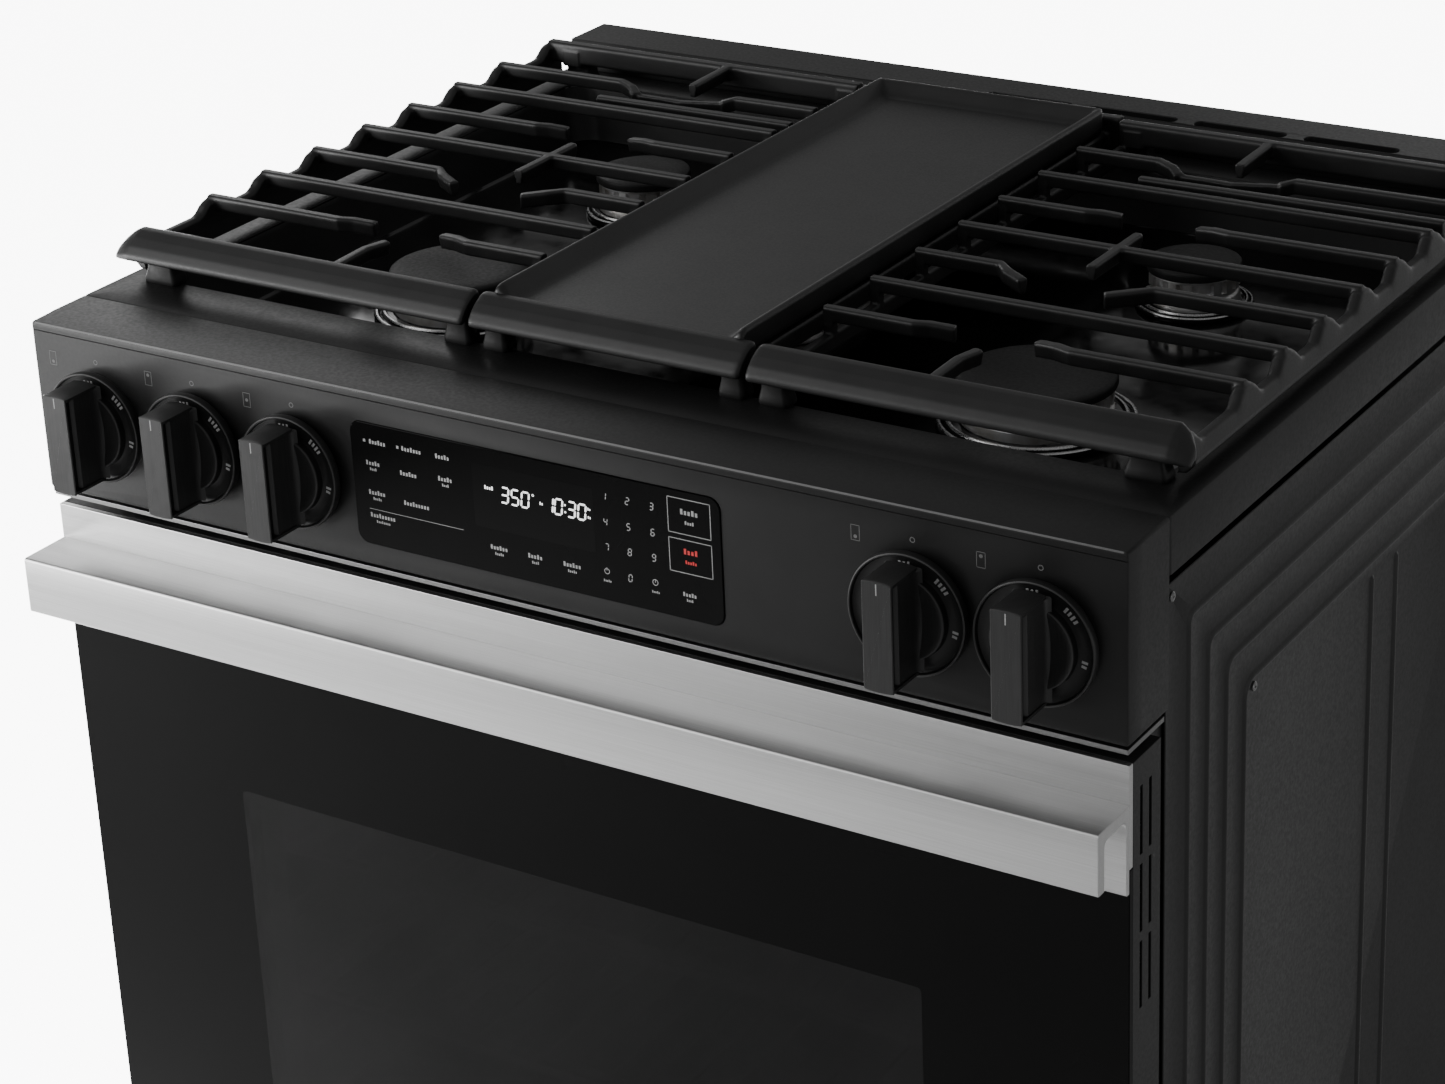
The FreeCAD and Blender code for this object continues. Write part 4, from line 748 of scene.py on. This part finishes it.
def knob(word):
    """Dial with a sunken label ring, a dished hub and a two-part grip bar."""
    node, body = "knob_" + word, "dial_" + word
    x, _, z = middle(node)
    limits = span(node)
    skirt = 3.4
    rim = (limits[0][1] - limits[0][0]) / 2 + skirt
    reach = -limits[1][0]
    half_length, half_width = 32.75, 9.2
    # edge numbers the lighter bands on the rim, hub edge and grip edges, which are painted
    # highlight
    # recess numbers the darker bands in the label ring and behind the grip's front plate, which are
    # painted shade
    edge, recess = 1, 2
    form = Form()
    form.lathe((x, 0, z), [
        (rim - 4, 3.3), (rim - 1.2, 3.3), (rim - 0.3, 4.2), (rim, 5.2), (rim, 8.4),
        (rim - 0.25, 9.1), (rim - 0.8, 9.4), (rim - 1.4, 9.1), (rim - 1.7, 8.4), (rim - 2.2, 7.4),
        (rim - 3.0, 7.0), (26.2, 7.0), (25.4, 7.4), (25, 8.2), (25, 11.2), (24.8, 11.9),
        (24.2, 12.4), (23.4, 12.5), (21, 12.2), (17, 11.5), (12, 11.0), (8, 10.8)], forward=True,
        bands=[(5, edge), (6, edge), (15, edge)] + [(band, recess) for band in range(8, 14)])

    def outward(u, v, w):
        return (x + u, -w, z + v)

    bulge = 1.1
    shoulder = half_length - bulge
    arc = [(half_width, shoulder)]
    for turn in (12, 25, 40, 60, 90, 120, 140, 155, 168):
        turn = math.radians(turn)
        arc.append((half_width * math.cos(turn), shoulder + bulge * math.sin(turn)))
    arc.append((-half_width, shoulder))

    core_levels = (
        (10.4, 11.6, 31.0), (11.6, 10.4, 30.6), (13.4, 9.2, 30.3), (16, 8.8, 30.2),
        (20, 8.6, 30.2), (32.0, 8.6, 30.2), (34.2, 7.0, 29.0), (34.5, 6.2, 28.6),
        (36.0, 6.0, 28.6), (38.6, 6.0, 28.6))
    form.loft([
        [outward(u, v, w) for u, v in rounded((-half, half), (-long, long), 1.2, 3)]
        for w, half, long in core_levels], bands=[(5, edge), (6, recess), (7, recess), (8, recess)])
    front = arc + [(-u, -v) for u, v in arc]
    form.slab(front, outward, reach - 1.6, reach, 0.5, [(2, edge)])
    end = [
        (-half_width, 29.9), (half_width, 29.9), (half_width, shoulder),
        (half_width * 0.7, half_length - 0.45), (0, half_length),
        (-half_width * 0.7, half_length - 0.45), (-half_width, shoulder)]
    for side in SIDES:
        form.slab([(u, v * side) for u, v in end], outward, 11.4, reach - 1.2, 0.4)
    piece(
        node + "_turned", form, body, "knob_finish", [node], 32, ["dial_edge_highlight", "dial_recess_shade"])
    pointer = Print(-reach, 0.05)
    pointer.bar(x, z + half_length - 4.6, 0.7, 6.6)
    pointer.finish(node + "_pointer", "dial_ink", body)
    labels = Print(-7.0, 0.05)
    ring, pitch = 29.6, 5.2
    for middle_turn, letters in ((-3, 3), (46, 4), (102, 2)):
        for number in range(letters):
            turn = math.radians(middle_turn + (number - (letters - 1) / 2) * pitch)
            tall = 3.6 if number in (0, 2) else 3.0
            labels.bar(x + ring * math.sin(turn), z + ring * math.cos(turn), 1.5, tall, -turn)
    labels.finish(node + "_labels", "dial_ink", body)


# ---------------------------------------------------------------- cooktop

def cooktop():
    """Pressed top: eased rim, turned-down skirt and a well with sloping walls."""
    x, y, z = span("cooktop_pan")
    mouth = ((-356, 356), (92, 567))
    skirt = -34.5
    floor = z[0] + 1.2

    def stack(limits, levels):
        return [
            [(u, v, height) for u, v in rounded(*limits, radius, 8, inset)]
            for inset, height, radius in levels]

    rings = stack((x, y), ((0.0, skirt, 2.5), (0.0, -1.6, 2.5), (0.35, -0.5, 2.5), (1.4, 0, 2.5)))
    rings += stack(mouth, (
        (0, 0, 20), (1.2, -0.4, 19), (2.2, -1.6, 18), (3.4, -5, 18), (10.5, floor + 6, 18),
        (12, floor + 2.2, 18), (14.5, floor + 0.4, 17), (19, floor, 16)))
    form = Form()
    form.loft(rings, close_start=False)
    item = new_object("cooktop_top", form)
    finish_mesh(item, 30)
    add_modifier(item, "SOLIDIFY", thickness=SHEET, offset=-1)
    applied(item, 30)
    settle(item, "range_body", "black_paint", ["cooktop_pan"])
    well = Form()
    lining = floor + 0.25
    well.loft(stack(mouth, (
        (2.0, -0.9, 18), (3.15, -4.75, 18), (10.2, lining + 6, 18), (11.7, lining + 2.3, 18),
        (14.4, lining + 0.4, 17), (19, lining, 16))), close_start=False)
    piece("cooktop_well", well, "range_body", "black_enamel", sharp=30)


BURNERS = {"front_left": 1.0, "rear_left": 0.72, "front_right": 1.05, "rear_right": 0.66}


def flame_head(form, x, y, scale):
    """Toothed ring of flame ports between two plain bands."""
    count = int(28 * scale)
    inner, outer = 37.5 * scale, 43.6 * scale
    tooth = ((0.0, outer), (0.28, outer + 0.15), (0.56, outer), (0.62, inner), (0.94, inner))
    outline = []
    for number in range(count):
        for share, radius in tooth:
            turn = FULL_TURN * (number + share) / count
            outline.append((x + radius * math.cos(turn), y + radius * math.sin(turn)))
    form.slab(outline, lying, -27, -18.4)


def burners():
    """Polished rings, stepped bases and slotted heads of the five burners."""
    polished, enamelled = 1, 2
    form = Form()
    for word, scale in BURNERS.items():
        x, y, _ = middle("burner_cap_" + word)
        centre = (x, y, 0)

        def scaled(profile):
            return [(radius * scale, height) for radius, height in profile]

        form.lathe(centre, scaled([
            (22, -75), (27.4, -75), (28, -74.4), (28, -54.5), (23.5, -50), (23, -41),
            (57.2, -41.2), (57.6, -40.0), (57.0, -38.2), (56.2, -37.6), (55.0, -37.6),
            (54.0, -38.4), (53.4, -39.4), (52.6, -39.0), (52.2, -37.2), (51.4, -36.2),
            (50.2, -36.2), (49.4, -37.0), (48.8, -38.0), (45.5, -37.8), (44.6, -37.0),
            (43.8, -31.4), (42.6, -30.2), (41, -29.6), (41, -27.2), (40.4, -26.8), (30, -26.8)]),
            bands=[
                (band, polished if band in (8, 9, 14, 15) else enamelled)
                for band in range(5, 20)])
        flame_head(form, x, y, scale)
        form.lathe(centre, scaled([
            (20, -18.9), (43.0, -18.9), (43.8, -18.5), (44.0, -17.7), (43.4, -17.2),
            (20, -17.2)]))
        cap = Form()
        cap.lathe(centre, scaled([
            (14, -19.5), (19.4, -19.5), (20, -19), (20, -17), (44.6, -17), (45.7, -16.6),
            (46, -15.8), (46, -12.9), (45.7, -12.0), (44.9, -11.3), (42, -10.6), (34, -10.15),
            (18, -10.0), (3, -10.0)]))
        piece("cap_" + word, cap, "cap_" + word, "matte_cap", ["burner_cap_" + word], 32)
    x, y, _ = middle("burner_cap_centre")
    half = 48

    def ovals(profile):
        return [
            [(u, v, height) for u, v in rounded(
                (x - radius, x + radius), (y - half - radius, y + half + radius),
                radius - 0.01, 16)]
            for radius, height in profile]

    form.loft(ovals((
        (15, -70), (15, -42), (27.2, -41.4), (27.6, -40), (27, -37.4), (25.6, -37),
        (21.2, -36.4), (20.4, -35), (20, -33), (20, -27), (17, -26.6), (17, -19), (20, -18.6),
        (20, -17.2))))
    piece("burner_castings", form, "range_body", "burner_alloy", ["burner_bodies"], 30,
          ["polished_rim", "black_enamel"])
    cap = Form()
    cap.loft(ovals((
        (11, -20), (11, -17), (22, -17), (23, -16.2), (23, -12.2), (22.4, -11), (21, -10.3),
        (17, -10))))
    piece("cap_centre", cap, "cap_centre", "matte_cap", ["burner_cap_centre"], 32)


def electrodes():
    """Ribbed ceramic posts with a bare steel tip."""
    posts, tips = Form(), Form()
    apart = 10
    groups = []
    for vertex in nodes["igniters"].data.vertices:
        spot = ((vertex.co - ORIGIN) * 1000).to_2d()
        for group in groups:
            if (group[0] - spot).length < apart:
                group.append(spot)
                break
        else:
            groups.append([spot])
    for group in groups:
        x, y = (
            (min(spot[axis] for spot in group) + max(spot[axis] for spot in group)) / 2
            for axis in range(2))
        posts.lathe((x, y, 0), [
            (2.1, -64), (2.4, -63), (2.4, -43), (3.6, -42.6), (3.6, -40.4), (2.5, -39.6),
            (2.5, -36), (2.9, -35.6), (2.9, -34.6), (2.4, -34.2), (2.4, -29), (2.0, -28.2)], 24)
        tips.lathe((x, y, 0), [(0.9, -30), (0.9, -25), (0.7, -24.3), (0.3, -24)], 16)
    piece("electrode_posts", posts, "range_body", "ceramic", ["igniters"], 30)
    piece("electrode_tips", tips, "range_body", "plain_steel", sharp=30)


BAR_TOP = 33
BAR_SECTION = [
    (-1.9, -9.8), (1.9, -9.8), (2.4, -8.8), (3.6, -2.0), (3.4, -0.7), (2.7, 0), (-2.7, 0),
    (-3.4, -0.7), (-3.6, -2.0), (-2.4, -8.8)]
THIN_SECTION = [(u * 0.8, v * 0.62) for u, v in BAR_SECTION]
# The front rail in (y, z): a rounded top that falls to a lip, undercut below.
RAIL_SECTION = [
    (98, 21), (98, 31), (97, 33.2), (94.5, 34), (91, 33.2), (85, 30), (79.5, 25.4), (76.6, 21.6),
    (75.8, 20.4), (75.6, 17.2), (76.8, 16.2), (81, 17.2), (86, 20.6), (91, 21)]


def flat_topped(half, depth, flat=3.0, drop=1.5):
    """Section of a plain rail, its top edges chamfered."""
    return [
        (-half, -depth), (half, -depth), (half, -drop), (flat, 0), (-flat, 0), (-half, -drop)]


def front_rail(form, centre_y, centre_z, stages):
    """Front rail along x; a stage is (x, scale about the centre, fall)."""
    form.loft([
        [(x, centre_y + (y - centre_y) * scale, centre_z - fall + (z - centre_z) * scale)
         for y, z in RAIL_SECTION]
        for x, scale, fall in stages])


def waisted_foot(form, x, y, half, top):
    """Foot with a pad at its base, narrower between the pad and the rail above."""
    pad = rounded((-half, half), (-7, 7), 3, 3)
    form.loft([
        [(x + u * scale, y + v * scale, z) for u, v in pad]
        for z, scale in (
            (0, 0.97), (0.6, 1.0), (3, 1.0), (6, 0.92), (10, 0.82), (15, 0.84), (top, 1.0))])


def side_grate(word, shift, side):
    """Cast grate; shift moves its bars from where they are on the right-hand grate."""
    form = Form()
    inner, outer, back = 100, 370, 557
    low_x, high_x = (inner, outer) if side > 0 else (-outer, -inner)
    stages = [
        (side * (outer + reach), scale, fall) for reach, scale, fall in (
            (7.2, 0.26, 3.2), (6, 0.46, 2.6), (2.5, 0.7, 1.6), (-2, 0.9, 0.6), (-6, 1.0, 0))]
    stages += [
        (side * (inner + reach), scale, 0)
        for reach, scale in ((4, 1.0), (1.6, 0.98), (0.5, 0.92), (0, 0.84))]
    front_rail(form, 81, 20, sorted(stages))

    # The outer rail leans out, dips between the bars and rises at each of them.
    rises = (88, 166, 221, 276, 331, 384, 439, 494, 556)
    dip, rise_height, rise_width = 22.5, 8.5, 12.5
    edge = outer + 4
    rings = []
    for y in range(92, 567, 4):
        near = min(abs(y - rise) for rise in rises)
        top = dip + rise_height * math.exp(-(near / rise_width) ** 4)
        lean = (top - 11) * 0.12
        section = [
            (-11, 5), (-6, 5.4), (-0.8, 10.4), (0, 12), (0, 14), (-lean, top - 2.4),
            (-lean - 1.0, top - 0.6), (-lean - 3, top), (-lean - 6, top - 0.4),
            (-lean - 8, top - 2.4), (-10, 14)]
        rings.append([(side * (edge + u), y, v) for u, v in section])
    form.loft(rings)

    inner_x = side * (inner + 4)
    form.strip([(low_x + 2, back, BAR_TOP), (high_x - 2, back, BAR_TOP)], flat_topped(4.5, 15))
    form.strip([(inner_x, 92, 16), (inner_x, back, 16)], flat_topped(3.6, 10, 2.6, 1.2))

    def bars(*paths, section=BAR_SECTION):
        """Bars along paths of (x, y, drop below the bars' top)."""
        for path in paths:
            form.strip([(x + shift, y, BAR_TOP - drop) for x, y, drop in path], section)

    right = (outer if side > 0 else -inner) - shift - 1
    left = (inner if side > 0 else -outer) - shift + 1
    for y in (221, 331, 439):
        bars([(left, y, 0), (right, y, 0)])
    for y, bend, (tip_x, tip_y), far_bend, (far_x, far_y) in (
            (166, 165, (184, 174), 258, (236, 175)), (276, 163, (182, 261), 258, (236, 260)),
            (384, 167, (184, 391), 256, (236, 390))):
        bars(
            [(left, y, 0), (bend - 4, y, 0), (bend + 4, (y + tip_y) / 2, 0.6),
             (tip_x, tip_y, 2.4)],
            [(far_x, far_y, 2.4), (far_bend - 7, (y + far_y) / 2, 0.6), (far_bend + 4, y, 0),
             (right, y, 0)])
    bars(
        [(162, 461, 2), (right, 461, 1)],
        [(left, 494, 0), (160, 494, 0), (172, 489, 1.5), (180, 482, 4)],
        [(247, 489, 3), (256, 494, 0.5), (right, 494, 0)],
        [(211, 94, 1), (211, 128, 0), (214, 146, 1)],
        [(211, 293, 0), (211, 358, 0)],
        [(211, 507, 1), (211, 556, 0)])
    bars([(178, 484, 5), (214, 485, 6), (250, 490, 4)], section=THIN_SECTION)

    # Each bar's inner end hooks down to the inner rail.
    for y in rises[1:-1]:
        form.loft([
            [(inner_x + u * half, y + v * half, z) for u, v in ((-1, -1), (1, -1), (1, 1), (-1, 1))]
            for z, half in ((8, 3), (20, 3.15), (BAR_TOP - 2.5, 3.3), (BAR_TOP - 0.6, 2.7))])

    feet = Form()
    for foot_x, half in ((side * (inner + 12), 10), (side * (outer - 23), 13)):
        for foot_y, top in ((92, 21), (566, 24)):
            waisted_foot(feet, foot_x, foot_y, half, top)
        form.slab(rounded((foot_x - 9, foot_x + 9), (552, 573), 3, 3), lying, 16, 27)
    body = word + "_grate"
    # The feet are near-black: painted shade for the shadow under the rails.
    piece("grate_feet_" + word, feet, body, "foot_shade")
    cast("grate_casting_" + word, form, body, "grate_" + word, (0.0013, 0.001), 2, 0.35)


def middle_grate():
    """Cast frame under the griddle, with the same front rail as its neighbours."""
    half, seat, back = 96, 20, 569
    form = Form()
    front_rail(form, 88, 22, sorted(
        (side * (half - reach), scale, 0) for side in SIDES
        for reach, scale in ((0.0, 0.84), (0.5, 0.92), (1.6, 0.98), (4, 1.0))))
    feet = Form()
    plain = flat_topped(4.5, 12)
    for side in SIDES:
        form.strip([(side * (half - 13), 90, seat), (side * (half - 13), back, seat)], plain)
        for foot_y, top in ((92, 20), (572, 15)):
            waisted_foot(feet, side * (half - 12), foot_y, 9, top)
    for y in (180, 331, 480):
        form.strip([(-half + 12, y, seat), (half - 12, y, seat)], plain)
    form.strip([(-half, back, 31), (half, back, 31)], flat_topped(4.5, 21))
    # The feet are near-black: painted shade for the shadow under the rails.
    piece("grate_feet_centre", feet, "middle_grate", "foot_shade")
    cast(
        "grate_casting_centre", form, "middle_grate", "centre_grate", (0.0013, 0.001), 2, 0.35)


def griddle_plate():
    """Griddle: flat cooking face, sloped inner walls and eased rims, open to the front rail."""
    x, (front, back), z = span("griddle")
    half, rim, under = x[1], z[1], z[0] + 0.2
    floor = 29.2
    wall = 12

    def outer_edge(side, top):
        """Underside, outside and rim of a wall, from the bottom up, in (across, z)."""
        return [
            (side - 6, under), (side - 1.5, under + 1.2), (side, under + 4), (side, top - 2.2),
            (side - 0.6, top - 0.8), (side - 2, top), (side - 3.8, top - 0.2)]

    def section(rise):
        top = floor + (rim - floor) * rise
        right = outer_edge(half, top) + [
            (half - 5, top - 1.2), (half - wall, floor + 1.3), (half - wall - 2, floor + 0.4),
            (half - wall - 4.5, floor)]
        return right + [(-u, v) for u, v in reversed(right)]

    form = Form()
    form.loft([
        [(u, y, v) for u, v in section(rise)] for y, rise in (
            (front, 0.62), (front + 1.2, 0.82), (front + 5, 0.98), (front + 14, 1.0),
            (back - wall - 10, 1.0), (back - 4, 1.0))])
    inside = back - wall
    back_wall = [
        (inside - 4.5, floor - 1), (inside - 2, floor + 0.4), (inside, floor + 1.3),
        (back - 5, rim - 1.2)] + outer_edge(back, rim)[::-1]
    form.loft([[(u, y, v) for y, v in back_wall] for u in (-half + 1.2, half - 1.2)])
    cast("griddle_casting", form, "griddle_plate", "griddle", (0.0016, 0.0011), 3, 0.25)


# ---------------------------------------------------------------- cabinet

def side_sheet(word, side):
    """Pressed side sheet: nested round-cornered ridges and two upright ribs."""
    x, y, z = span("side_panel_" + word)
    base = max(abs(x[0]), abs(x[1])) - 1.5
    form = Form()

    def ring(limits, inset, height, radius, steps):
        return [
            (side * (base + height), u, v) for u, v in rounded(*limits, radius, steps, inset)]

    rings = [
        ring((y, z), inset, height, 1.5, 6) for inset, height in ((0, -1.2), (0, -0.4), (0.5, 0))]
    ridge = ((0, 0), (1.2, 0.5), (2.4, 1.25), (3.5, 1.5), (4.6, 1.25), (5.8, 0.5), (7, 0))
    for number in range(4):
        corner = 9 + 2 * number
        for step, height in ridge:
            inset = 25.2 * (number + 1) + step
            rings.append(ring((y, z), inset, height, max(corner - step, 2), 6))
    form.loft(rings, close_start=False)
    for setback in (352, 391):
        rib = ((setback, setback + 7.2), (z[0] + 122, z[1] - 115))
        form.loft([
            ring(rib, inset, height, max(3.55 - inset, 0.05), 4)
            for inset, height in ((0, -0.5), (0, 0), (1.2, 0.6), (2.4, 1.3), (3.5, 1.5))])
    piece("side_sheet_" + word, form, "range_body", "black_paint", ["side_panel_" + word], 32)


def screws():
    """Pan-head screws with a cross recess."""
    form = Form()
    proud = span("body_screws")[0][1]
    points = 24
    arms = [0.7 / 1.3, 1.0]
    for side in SIDES:
        for setback, drop in (
                (70.5, 57.4), (180.7, 161), (70.5, 820), (630, 57.4), (630, 820)):
            rings = [
                [(side * (proud + reach), u, v) for u, v in circle(radius, points, setback, -drop)]
                for reach, radius in ((-1.4, 3.0), (-0.6, 3.0), (-0.2, 2.6), (0, 1.8))]
            cross = [
                (setback + u * arms[i % 6 == 0], -drop + v * arms[i % 6 == 0])
                for i, (u, v) in enumerate(circle(1.3, points))]
            rings += [[(side * (proud - deep), u, v) for u, v in cross] for deep in (0, 0.7)]
            form.loft(rings)
    piece("side_screws", form, "range_body", "dull_screw", ["body_screws"], 30)


# ---------------------------------------------------------------- door

def handle():
    """Hollow full-width handle: shelf, hanging front leg and a back leg, all softly rounded."""
    x, (front, back), (bottom, top) = span("door_handle")
    lip = top - 37.3
    ceiling = top - 7.5
    outline = [(back, top), (back, bottom), (back - 2.6, bottom), (back - 3.4, bottom + 0.8)]
    for u, v, radius, start, end, steps in (
            (back - 8.4, ceiling - 5, 5, 0, 90, 5), (front + 11.5, ceiling - 4, 4, 90, 180, 5),
            (front + 6.3, lip + 1.2, 1.2, 0, -90, 3), (front + 1.2, lip + 1.2, 1.2, 270, 180, 3),
            (front + 1.8, top - 1.8, 1.8, 180, 90, 4)):
        for step in range(steps + 1):
            turn = math.radians(start + (end - start) * step / steps)
            outline.append((u + radius * math.cos(turn), v + radius * math.sin(turn)))
    form = Form()
    form.slab(outline, facing_side, *x, 0.5)
    piece("handle_bar", form, "oven_door", "stainless", ["door_handle"], 30)


def door_glass():
    """Black glass sheet with a slightly clearer window in it."""
    x, (front, back), z = span("door_outer_glass")
    outside = (x, z, 0.6, 4)
    window = ((-248, 248), (-560, -301.7), 3, 4)
    form = Form()
    form.loft([
        [(u, depth, v) for u, v in rounded(*outline, inset)] for depth, outline, inset in (
            (back, outside, 0), (front + 0.5, outside, 0), (front, outside, 0.5),
            (front, window, 0), (back, window, 0), (back, outside, 0))], False, False)
    item = new_object("door_glass_surround", form)
    add_modifier(item, "WELD", merge_threshold=WELD_GAP)
    applied(item)
    finish_mesh(item, 25)
    settle(item, "oven_door", "black_glass", ["door_outer_glass"])
    pane = Form()
    pane.slab(rounded(*window), facing_front, front, back)
    piece("door_window", pane, "oven_door", "window_glass", sharp=25)


# ---------------------------------------------------------------- CAD nodes that stay

KNOBS = ("outer_left", "middle_left", "inner_left", "inner_right", "outer_right")
# Width in millimetres to ease each kept node's edges by: width -> nodes.
EASE_WIDTHS = {
    0: ("oven_burners", "burner_gas_tubes", "supply_pipe", "oven_rack_lower", "oven_rack_upper"),
    0.3: ("fan_rotor", "control_board", "vent_trim"),
    0.4: ("levelling_feet", "oven_floor", "drawer_box", *("valve_stem_" + word for word in KNOBS)),
    0.5: ("rear_cover", "oven_cavity", "fan_cover", "flue_duct", "gas_manifold", "door_frame",
          "door_trim", "door_liner", "hinge_arms"),
    0.6: ("chassis", "back_trim", "door_inner_glass"),
    0.8: ("fan_motor", "gas_valves", "gas_regulator", "power_inlet"),
    0.9: ("drawer_front",),
    1.5: ("oven_lamp",),
    1.6: ("oven_gasket",),
    3.0: ("oven_insulation",),
}


def dress_kept_nodes():
    """CAD shapes that stay get their slot's finish and eased edges."""
    slots = {row["node"]: row["material_slot"] for row in frame["record"]["subparts"]}
    slots["vent_trim"] = "seam_trim"
    for width, kept in EASE_WIDTHS.items():
        for node in kept:
            item = nodes[node]
            item.data.materials.clear()
            item.data.materials.append(LOOKS[slots[node]])
            if width:
                ease_edges(item, width)


# ---------------------------------------------------------------- studio

WHITE = (1, 1, 1, 1)


def studio():
    """Pale floor that glows more to the left and the rear, soft lamps and a pale surround."""
    floor_mesh = bpy.data.meshes.new("studio_floor")
    reach = 30
    floor_mesh.from_pydata(
        [(-reach, -reach, 0), (reach, -reach, 0), (reach, reach, 0), (-reach, reach, 0)], [],
        [(0, 1, 2, 3)])
    floor = linked(bpy.data.objects.new("studio_floor", floor_mesh))
    m = Nodes("studio_floor")
    m.colour(m.tones(m.noise(1.5, 3), grey(0.74), grey(0.78)))
    m.roughness(m.noise(3, 3), 0.85, 0.95)
    glow = None
    for direction, start, end in (((-1, 0, 0), -0.6, 0.75), ((0, 1, 0), -1.5, 0.0)):
        sweep = m.node("VectorMath")
        sweep.operation = "DOT_PRODUCT"
        sweep.inputs[1].default_value = direction
        m.link(m.coordinates, sweep.inputs[0])
        ramp = m.spread(sweep.outputs["Value"], 0.0, 1.0, start, end)
        glow = ramp if glow is None else m.combine("MULTIPLY", glow, ramp)
    falloff, brightest = 3.0, 9.0
    steep = m.combine("POWER", glow, falloff)
    m.link(m.combine("MULTIPLY", steep, brightest), m.shader.inputs["Emission Strength"])
    floor_mesh.materials.append(m.done(Specular_IOR_Level=0.1, Emission_Color=WHITE))

    world = bpy.data.worlds.new("studio")
    bpy.context.scene.world = world
    world.use_nodes = True
    background = world.node_tree.nodes["Background"]
    background.inputs["Color"].default_value = WHITE
    background.inputs["Strength"].default_value = 0.30

    def softbox(name, spot, target, width, height, power):
        data = bpy.data.lights.new(name, "AREA")
        data.shape = "RECTANGLE"
        data.size, data.size_y = width, height
        data.energy = power
        lamp = linked(bpy.data.objects.new(name, data))
        lamp.location = spot
        lamp.rotation_mode = "QUATERNION"
        lamp.rotation_quaternion = (Vector(target) - Vector(spot)).to_track_quat("-Z", "Y")
        lamp.visible_camera = False

    softbox("key", (-1.75, -1.45, 0.85), (-0.1, -0.35, 0.8), 0.9, 1.1, 46)
    softbox("front_high", (-1.2, -1.45, 1.9), (0, 0, 0.9), 1.4, 1.0, 12)
    softbox("rear_left", (-2.1, 1.4, 1.9), (-0.3, 0, 0.93), 1.2, 1.0, 9)
    softbox("right_fill", (2.6, 0.1, 0.75), (0.38, 0, 0.5), 2.6, 1.3, 8)
    softbox("rear_fill", (0.2, 2.8, 0.9), (0, 0.34, 0.5), 2.2, 1.3, 12)


def camera():
    """The photo's viewpoint, solved from its parallel edges."""
    data = bpy.data.cameras.new("camera")
    data.lens = 86.78
    data.sensor_width = 36
    data.shift_x = 0.0069
    data.shift_y = -0.1136
    view = linked(bpy.data.objects.new("camera", data))
    right = (0.8440, 0.5347, -0.0424, 0)
    up = (-0.1658, 0.3352, 0.9275, 0)
    back = (0.5101, -0.7757, 0.3715, 0)
    place = (1.09761, -1.77881, 1.67234, 1)
    view.matrix_world = Matrix((right, up, back, place)).transposed()
    bpy.context.scene.camera = view


fascia()
display_graphics(display())
panel_marks()
for knob_word in KNOBS:
    knob(knob_word)
cooktop()
burners()
electrodes()
side_grate("right", 0, 1)
side_grate("left", -422, -1)
middle_grate()
griddle_plate()
side_sheet("left", -1)
side_sheet("right", 1)
screws()
handle()
door_glass()
dress_kept_nodes()
studio()
camera()
